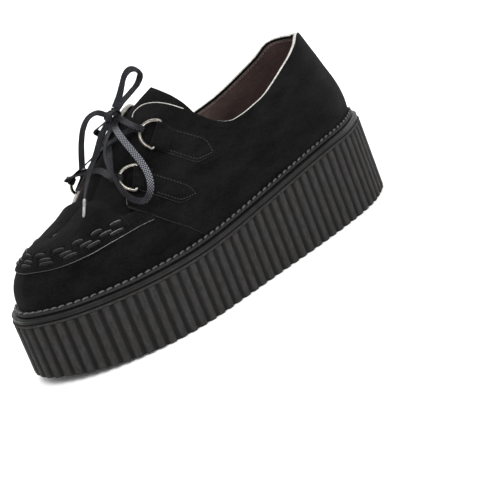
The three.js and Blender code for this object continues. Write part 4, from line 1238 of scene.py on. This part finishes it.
def make_outsole():
    fine = 16
    theta, length = sole_angles(RIBS * fine)
    phase = (np.arange(RIBS * fine) % fine) / fine
    away = np.abs(phase - 0.5) * 2
    # the groove share cuts the grooves and is kept as their painted shade
    groove_depth_and_shade = smooth((away - 0.40) / 0.42)
    body = SOLE_REACH - 0.15 - RIB_DEPTH * groove_depth_and_shade

    def between(share):
        return lambda y: underside_height(y) + share * (rim_height(y) - BEAD_HEIGHT - underside_height(y))

    rings, groove_shades = [], []
    rows = [(0.0, -1.3), (0.004, -0.5), (0.014, -0.12), (0.035, 0.0), (0.25, 0.0), (0.5, 0.0), (0.75, 0.0),
            (0.955, 0.0), (0.985, -0.1)]
    for share, inset in rows:
        rings.append(level_ring(theta, body + inset, between(share)))
        groove_shades.append(groove_depth_and_shade)
    bead = [(0.02, -0.5), (0.18, -0.12), (0.45, 0.0), (0.72, -0.08), (0.93, -0.4), (1.0, -0.9), (1.0, -2.2)]
    for share, inset in bead:
        rings.append(level_ring(theta, np.full(len(theta), SOLE_REACH + inset),
                                lambda y, share=share: rim_height(y) - BEAD_HEIGHT * (1 - share)))
        # painted shade on the bead's lowest ring, where it meets the ribs
        groove_shades.append(np.full(len(theta), 0.9 if share < 0.1 else 0.0))
    piece("ribbed_sole", *stack(rings), SOLE, "sole", ["outsole"], values={"groove_depth_and_shade": np.concatenate(groove_shades)})


def make_midsole():
    theta = np.linspace(-math.pi, math.pi, 721)[:-1]
    reach = SOLE_REACH - MIDSOLE_INSET
    edge = [(0.0, 2.6), (0.0, 0.75), (0.06, 0.3), (0.16, 0.05), (0.28, 0.0), (0.38, 0.12), (0.47, 0.3),
            (0.55, 0.3), (0.64, 0.12), (0.74, 0.02), (0.85, 0.1), (0.94, 0.42), (1.0, 0.95), (1.0, 3.0)]
    rings = [level_ring(theta, np.full(len(theta), reach - inset),
                        lambda y, share=share: rim_height(y) + GAP + share * MIDSOLE_HEIGHT)
             for share, inset in edge]
    piece("midsole_band", *stack(rings), BAND, "midsole", ["midsole"])


SEAM_FOOT = (SEAM[-1][0] - 0.5) * LAST_LENGTH


def wall_reach(theta):
    """How far the upper stands out at its foot: the quarters are a step proud of the vamp."""
    y = foot_point(theta)[..., 1]
    return np.where(y < SEAM_FOOT + 2, QUARTER_STEP, 0.0)


def make_welt():
    theta = np.linspace(-math.pi, math.pi, 901)[:-1]
    reach = SOLE_REACH - WELT_INSET
    section = [(reach - 0.25, 0.02), (reach, 0.3), (reach + 0.02, 1.2), (reach - 0.2, 1.75),
               (reach - 0.8, 2.0), (1.9, 2.05), (0.6, 2.1), (-0.6, 2.15), (-0.6, 0.02)]
    rings = [level_ring(theta, np.full(len(theta), out), lambda y, up=up: deck_height(y) + up)
             for out, up in section]
    piece("welt_strip", np.concatenate(rings), walls(rings, closed=True), WELT, "welt", ["welt"])
    rope = Parts()
    line_angles = np.linspace(-math.pi, math.pi, 1401)
    reach_line = (wall_reach(line_angles) + reach) / 2 + 0.55
    carried_past = np.concatenate([reach_line[-13:-1], reach_line, reach_line[1:13]])
    reach_line = np.convolve(carried_past, np.ones(25) / 25, "valid")
    line = level_ring(line_angles, reach_line, lambda y: deck_height(y) + WELT_HEIGHT + 0.1)
    up = np.repeat([[0.0, 0.0, 1.0]], len(line), 0)
    stitch_row(rope, line, up, **WELT_STITCHES)
    rope.done("welt_stitches", WELT_THREAD, "welt")


def make_footbed():
    theta = np.linspace(-math.pi, math.pi, 361)[:-1]
    rings = []
    rows = [(0.0, 0.5), (INSOLE_HEIGHT - 0.8, 0.5), (INSOLE_HEIGHT - 0.2, 0.8), (INSOLE_HEIGHT, 1.4)]
    for height, inset in rows:
        foot = foot_point(theta)
        rise = 3 * crest(theta, 5) * (crest_point(theta)[:, 2] - foot[:, 2])
        p = on_last(theta, height / rise, -WALL - GAP - inset + 0.5)
        p[:, 2] = deck_height(foot[:, 1]) + height
        rings.append(p)
    centre = rings[-1].copy()
    for share in (0.8, 0.55, 0.3):
        ring = centre.copy()
        ring[:, 0] = TOE_SWING * 0.3 + (ring[:, 0] - TOE_SWING * 0.3) * share
        ring[:, 2] -= 0.9 * (1 - share)
        rings.append(ring)
    piece("footbed", *stack(rings), FOOTBED, "footbed", ["insole"])


# Rings and their tabs
FOLD_RADIUS = WIRE / 2 + GAP + TAB_THICKNESS
BAR_LIFT = QUARTER_STEP + GAP + FOLD_RADIUS
RING_ROWS = {"top": (TOP_BAR, TOP_TAB), "low": (LOW_BAR, LOW_TAB)}


def lowered(row, side):
    """The rings and tabs sit lower on the inner side."""
    return row[0], row[1] - (INNER_DROP if side > 0 else 0.0)


def ring_frame(name, side):
    a, b = (lowered(row, side) for row in RING_ROWS[name][0])
    ends = [on_last(*from_side(side, *row), BAR_LIFT) for row in (a, b)]
    theta, v = from_side(side, (a[0] + b[0]) / 2, (a[1] + b[1]) / 2)
    out = last_normal(np.array(theta), np.array(v))
    along = unit(ends[1] - ends[0])
    bow = unit(np.cross(out, along))
    if bow[1] < 0:
        bow = -bow
    axis = unit(np.cross(along, bow))
    if axis @ out < 0:
        axis = -axis
    middle = on_last(theta, v, BAR_LIFT)
    return middle, along, bow, axis, np.linalg.norm(ends[1] - ends[0]) / 2


def bow_reach(share):
    return BOW_START + (RING_REACH - BOW_START) * math.sqrt(max(0.0, 1 - share * share))


def make_ring(name, side, label):
    middle, along, bow, axis, half = ring_frame(name, side)
    rows = [(-0.75 * half, 0), (-0.25 * half, 0), (0.25 * half, 0), (0.75 * half, 0)]
    for a in np.linspace(0.0, math.pi, 19):
        rows.append((half * math.cos(a), BOW_START + (RING_REACH - BOW_START) * math.sin(a)))
    path = catmull([middle + along * u + bow * w for u, w in rows], 0.7, closed=True)[:-1]
    points, faces = sweep(path, circle(WIRE / 2, 14), np.repeat(axis[None], len(path), 0), closed=True)
    piece(f"ring_{name}_{label}", points, faces, NICKEL, "ring", [f"d_ring_{name}_{label}"])


def make_tab(name, side, label):
    middle, along, bow, axis, half = ring_frame(name, side)
    fold_half = half - WIRE / 2 - GAP
    under = middle - axis * FOLD_RADIUS + bow * 0.2 * FOLD_RADIUS
    front = [under + along * u for u in (-fold_half, fold_half)]
    rear, tip, low = side_points([lowered(row, side) for row in RING_ROWS[name][1]])
    corners = [front[0][1:], rear, tip, low, front[1][1:]]
    dense = []
    for a, b in zip(corners, corners[1:] + corners[:1]):
        dense.append(a + (b - a) * np.linspace(0, 1, 12, endpoint=False)[:, None])
    outline = np.concatenate(dense)
    for _ in range(3):
        outline = (np.roll(outline, 1, 0) + 2 * outline + np.roll(outline, -1, 0)) / 4
    spots = np.array([from_side(side, *side_shares(np.array([0, *c]))) for c in corners])
    thetas, vs = spots[:, 0], spots[:, 1]
    grid_t = np.linspace(thetas.min() - 0.04, thetas.max() + 0.04, 70)
    grid_v = np.linspace(vs.min() - 0.04, min(vs.max() + 0.04, 0.999), 64)

    def distance(p, theta):
        return polygon_distance(side_of(p), outline)

    sheet = Sheet(grid_t, grid_v, distance, QUARTER_STEP)
    base = last_point(sheet.theta, sheet.v) + last_normal(sheet.theta, sheet.v) * QUARTER_STEP
    near = np.clip(1 - ((middle - base) @ bow) / 7.0, 0, 1)
    top = QUARTER_STEP + 1.15 - 0.25 * np.exp(-np.maximum(sheet.f, 0) / 0.8)
    top += crease_offset(sheet.theta, sheet.v) + 0.5 * smooth(near)
    parts = Parts()
    points, faces, indices = sheet.solid(top, QUARTER_STEP - 0.2, bulge=0.15)
    # the tab's rim faces take the suede edge with a painted highlight
    parts.add(points, faces, [int(i == 1) for i in indices])
    # the strap's fold round the bar: down the back, round the front and up again
    outer = FOLD_RADIUS - 0.1
    turn = np.linspace(math.radians(128), math.radians(-128), 26)
    outside = [(outer * math.cos(a), outer * math.sin(a)) for a in turn]
    drop = -BAR_LIFT + QUARTER_STEP
    section = np.array([(-8.5, drop + 1.25), (-5.5, drop + 1.75), (-3.4, outer * 0.62)] + outside
                       + [(-3.0, drop + 0.1), (-8.5, drop + 0.1)])
    path = np.array([middle + along * u for u in np.linspace(-fold_half, fold_half, 9)])
    flip = 1 if np.cross(along, axis) @ bow > 0 else -1
    section[:, 0] *= flip
    parts.add(*sweep(path, section, np.repeat(axis[None], len(path), 0)))
    parts.done(f"tab_{name}_{label}", [SUEDE, SUEDE_EDGE_HIGHLIGHT], "suede", [f"ring_tab_{name}_{label}"])
    threads = Parts()

    def outer_part(p, theta):
        return (middle[None] - p) @ bow > 4.5

    for line, normal in rim_lines(sheet, outer_part, 1.5, QUARTER_STEP + 1.18, step=0.6):
        stitch_row(threads, line, normal, **TAB_STITCHES)
    a, b = (middle + along * u - bow * 4.6 - axis * (BAR_LIFT - QUARTER_STEP - 1.75) for u in
            (-fold_half + 1.2, fold_half - 1.2))
    cross = a + (b - a) * np.linspace(0, 1, 20)[:, None]
    stitch_row(threads, cross, np.repeat(axis[None], 20, 0), **TAB_STITCHES)
    threads.done(f"tab_stitches_{name}_{label}", BLACK_THREAD, "suede")


# Lace
def lace_section(width=LACE_WIDTH, thick=LACE_THICKNESS, count=20):
    a = (np.arange(count) + 0.5) * TAU / count
    x = np.sign(np.cos(a)) * np.abs(np.cos(a)) ** 0.55 * width / 2
    z = np.sign(np.sin(a)) * np.abs(np.sin(a)) ** 0.6 * thick / 2
    hollow = 0.18 * np.exp(-(x / (0.30 * width)) ** 2)
    return np.stack([x, z * (1 - hollow / (thick / 2) * 0.8)], -1)


def lace_values(path, section):
    lengths = way(path)
    return {"along": np.repeat(lengths, len(section)), "across": np.tile(section[:, 0], len(path))}


def lace_ups(path, rows):
    """Up directions along a path, from rows of (share, direction)."""
    lengths = way(path)
    share = lengths / lengths[-1]
    at = [r[0] for r in rows]
    dirs = np.array([r[1] for r in rows], float)
    return unit(np.stack([np.interp(share, at, unit(dirs)[:, k]) for k in range(3)], -1))


FREE_LACE = {
    "lace_loop_up": [
        (0, 27.4, 128.8), (-2.2, 22.6, 134.2), (-3.2, 18.8, 139.4), (-2.8, 14.6, 143.6), (-1.2, 9, 145.2),
        (0.6, 3.6, 143.2), (1.9, 1.4, 138.8), (3, 4.6, 134.6), (3.8, 11, 131.6), (4.2, 18.5, 128.9),
        (3.2, 25, 126.2)],
    "lace_loop_down": [
        (-4.2, 32.8, 121.7), (-8.4, 36.8, 120.4), (-14, 39.7, 118), (-21, 42, 113.6), (-28.6, 43.6, 107.4),
        (-35.8, 44.8, 99.8), (-40.2, 46.6, 92.2), (-42.2, 50.4, 85.6), (-41.8, 56, 82.2), (-38.8, 61.2, 85.2),
        (-34.6, 63, 91.6), (-29.4, 61.8, 98.4), (-23, 59, 104.8), (-15.5, 54.4, 109.8), (-9.4, 47, 115),
        (-4, 38.6, 118.6), (-1, 34, 120.8)],
    "lace_end_inner": [
        (4.9, 32.7, 127), (8.5, 34.9, 129.2), (13.7, 38.4, 128), (19.2, 41.4, 122.8), (24.5, 43.2, 115),
        (29.3, 44.2, 106.6), (33.9, 44.9, 97.8), (38.2, 45.4, 89)],
    "lace_end_outer": [
        (3, 34.1, 121.6), (3.2, 38, 119.2), (2.4, 43, 115.8), (1.4, 48.6, 110.8), (0.4, 54.8, 105.6),
        (-1.2, 61.4, 100.4), (-4, 67.8, 95.4), (-7.6, 73.8, 90.6)],
}
LACE_TURNS = {
    "lace_loop_up": [(0, (-0.6, 0.5, 0.6)), (0.25, (-0.9, 0.1, -0.3)), (0.5, (-0.8, 0.0, 0.6)),
                     (0.72, (-0.5, 0.3, 0.9)), (1, (-0.6, 0.5, 0.6))],
    "lace_loop_down": [(0, (-0.5, 0.5, 0.7)), (0.25, (-0.7, 0.5, 0.5)), (0.45, (-0.9, 0.4, 0.1)),
                       (0.56, (-0.6, 0.9, -0.1)), (0.68, (0.0, 0.95, 0.1)), (0.85, (0.0, 0.9, 0.4)),
                       (1, (-0.3, 0.6, 0.7))],
    "lace_end_inner": [(0, (0.0, 0.4, 0.9)), (0.3, (-0.5, 0.7, 0.5)), (1, (-0.8, 0.5, 0.2))],
    "lace_end_outer": [(0, (-0.6, 0.3, 0.7)), (0.4, (-0.4, 0.4, 0.7)), (1, (0.25, 0.6, 0.5))],
}
AGLETS = {
    "lace_end_inner": ("aglet_inner", (38.2, 45.4, 89), (42.4, 45.8, 77.6)),
    "lace_end_outer": ("aglet_outer", (-7.6, 73.8, 90.6), (-13.8, 82, 83.6)),
}


def make_aglet(name, start, end):
    start, end = np.array(start, float), np.array(end, float)
    t = np.linspace(0, 1, 15)
    path = start + (end - start) * t[:, None]
    a = np.arange(14) * TAU / 14
    rings = []
    up, side = frames(path, np.repeat([[0.3, -0.9, 0.4]], 15, 0))
    for k, s in enumerate(t):
        wide = 1.4 - 0.55 * smooth(s * 3)
        wide *= 1 - 0.45 * smooth((s - 0.93) / 0.07)
        flat = 0.75 + 0.25 * smooth(s * 3)
        crimp = 1 - 0.05 * math.sin(s * 40)
        out = side[k] * np.cos(a)[:, None] + up[k] * np.sin(a)[:, None] * flat
        rings.append(path[k] + out * wide * crimp)
    return piece(name + "_tip", np.concatenate(rings), tube_faces(15, 14), AGLET, "aglet", [name])


def painted_highlight_share(name, path, section):
    """Painted highlight: the lower loop's long stretch is painted a grey shine where light would catch it."""
    share = np.linspace(0, 1, len(path))
    painted_highlight = smooth((share - 0.04) / 0.06) * smooth((0.47 - share) / 0.10)
    return np.repeat(painted_highlight * (name == "lace_loop_down"), len(section))


def make_free_lace():
    section = lace_section()
    for name, rows in FREE_LACE.items():
        path = catmull(rows, 1.2)
        ups = lace_ups(path, LACE_TURNS[name])
        narrower = 0.35 if name in AGLETS else 0.0
        squeeze = 1 - narrower * smooth((np.linspace(0, 1, len(path)) - 0.93) / 0.07)
        points, faces = sweep(path, section, ups, scale=squeeze)
        values = lace_values(path, section)
        # the lit values paint a highlight on the lower loop's long stretch
        values["lit"] = painted_highlight_share(name, path, section)
        obj = piece(name + "_band", points, faces, LACE, "lace", [name], values=values)
        with_pieces, far = [], "object"
        if name in AGLETS:
            aglet, start, end = AGLETS[name]
            with_pieces, far = [make_aglet(aglet, start, end)], "fitting"
        centres = metres(path)
        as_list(with_pieces)


def ring_turn(name, side, share):
    """The lace round a ring's bow: its centre, the directions there and both ends of the turn."""
    middle, along, bow, axis, half = ring_frame(name, side)
    centre = middle + along * share * half + bow * bow_reach(share)
    radius = WIRE / 2 + LACE_THICKNESS / 2 + 0.1
    turn = np.radians(np.linspace(90, 270, 15))
    path = [centre + bow * 1.5 + axis * radius]
    path += [centre + bow * math.cos(a) * radius + axis * math.sin(a) * radius for a in turn]
    path.append(centre + bow * 1.5 - axis * radius)
    ups = [axis] + [bow * math.cos(a) + axis * math.sin(a) for a in turn] + [-axis]
    return np.array(path), np.array(ups), bow, axis


def lace_stretch(parts, rows, section, step=1.2):
    """Band through rows of (place, up)."""
    path = catmull([r[0] for r in rows], step)
    dense = np.linspace(0, 1, len(path))
    places = np.array([r[0] for r in rows])
    lengths = way(places)
    ups = unit(np.array([r[1] for r in rows], float))
    ups = unit(np.stack([np.interp(dense, lengths / lengths[-1], ups[:, k]) for k in range(3)], -1))
    parts.add(*sweep(path, section, ups), 0, lace_values(path, section))


def knot_centre():
    return ridge_point(0.602, 6.6)


def make_lace_run():
    """Bar through the low rings, crossed diagonals up to the top rings, and both runs to the knot."""
    section = lace_section()
    parts = Parts()
    up = np.array([0.0, 0.5, 0.85])
    turns = {}
    for name, share in (("low", 0.05), ("top", -0.05)):
        for side in (-1, 1):
            path, ups, bow, axis = ring_turn(name, side, share)
            parts.add(*sweep(path, section, ups), 0, lace_values(path, section))
            turns[name, side] = path, bow, axis

    def end(name, side, over):
        path, bow, axis = turns[name, side]
        place = path[0] if over else path[-1]
        return [(place, axis), (place + bow * 2.5, axis)]

    bar = end("low", -1, True) + [(ridge_point(0.703, 1.6), up)] + end("low", 1, True)[::-1]
    lace_stretch(parts, bar, section)
    for side, lift in ((-1, 0.5), (1, 1.9)):
        rows = end("low", side, False) + [(ridge_point(0.655, lift), up)] + end("top", -side, False)[::-1]
        lace_stretch(parts, rows, section)
        knot = knot_centre() + [side * 3.0, -0.5, -0.8]
        lace_stretch(parts, end("top", side, True) + [(knot, up)], section)
    parts.done("lace_run", LACE, "lace", ["lace_bar", "lace_cross", "lace_run_outer", "lace_run_inner"])


# Turns of the knot: normal, half width and half height in mm, and shift from the knot's centre
KNOT_TURNS = [
    ((1.0, 0.15, 0.1), 4.2, 3.2, (-1.2, 0, 0)), ((0.9, -0.2, 0.5), 4.0, 3.0, (1.6, 0.3, 0)),
    ((-0.25, 0.9, 0.45), 3.6, 2.6, (0.3, 0.6, 0.6)),
]


def make_knot():
    """Turns of the lace drawn tight, and the stubs that lead out of them."""
    parts = Parts()
    section = lace_section()
    centre = knot_centre()
    for normal, wide, tall, shift in KNOT_TURNS:
        normal = unit(np.array(normal))
        a_axis = unit(np.cross(normal, [0.1, 0.2, 1.0]))
        b_axis = np.cross(normal, a_axis)
        a = np.linspace(0, TAU, 29)[:-1]
        radial = a_axis * np.cos(a)[:, None] * wide + b_axis * np.sin(a)[:, None] * tall
        path = centre + np.array(shift) + radial
        parts.add(*sweep(path, section, unit(radial), closed=True), 0, lace_values(path, section))
    for name, rows in FREE_LACE.items():
        ups = LACE_TURNS[name]
        starts = [(rows[0], ups[0][1])] if name in AGLETS else [(rows[0], ups[0][1]), (rows[-1], ups[-1][1])]
        for place, up in starts:
            inside = centre + (np.array(place) - centre) * 0.25
            lace_stretch(parts, [(inside, up), (np.array(place, float), up)], section)
    parts.done("bow_knot", LACE, "lace", ["lace_knot"])


# Making the shoe: the free lace first
make_free_lace()
make_lace_run()
make_knot()
make_quarters()
make_vamp()
make_lining()
make_apron(make_strips())
make_weave_edge()
make_outsole()
make_midsole()
make_welt()
make_footbed()
for ring_name in ("top", "low"):
    for ring_side, ring_label in ((-1, "outer"), (1, "inner")):
        make_ring(ring_name, ring_side, ring_label)
        make_tab(ring_name, ring_side, ring_label)


# Stage
def make_floor():
    mesh = bpy.data.meshes.new("floor")
    half = 9.0
    corners = [(x * half, y * half, 0) for x, y in ((-1, -1), (1, -1), (1, 1), (-1, 1))]
    mesh.from_pydata(corners, [], [(0, 1, 2, 3)])
    mesh.materials.append(Nodes("pale floor").finish((0.97, 0.97, 0.97), 0.6, Specular_IOR_Level=0.1))
    floor = bpy.data.objects.new("floor", mesh)
    scene.collection.objects.link(floor)


def make_light(name, place, target, size, power):
    data = bpy.data.lights.new(name, "AREA")
    data.shape = "RECTANGLE"
    data.size, data.size_y = size
    data.energy = power
    light = bpy.data.objects.new(name, data)
    light.location = place
    light.rotation_euler = (Vector(target) - Vector(place)).to_track_quat("-Z", "Y").to_euler()
    scene.collection.objects.link(light)


make_floor()
world = bpy.data.worlds.new("studio")
world.use_nodes = True
world.node_tree.nodes["Background"].inputs["Color"].default_value = (1, 1, 1, 1)
world.node_tree.nodes["Background"].inputs["Strength"].default_value = 0.95
scene.world = world
make_light("key", (-0.9, 0.9, 1.5), (0, 0, 0.05), (1.2, 1.2), 26)
make_light("back", (0.9, -0.9, 1.1), (0, 0, 0.08), (1.4, 0.8), 16)
make_light("side", (-1.4, -0.5, 0.5), (0, -0.02, 0.05), (0.9, 0.7), 10)
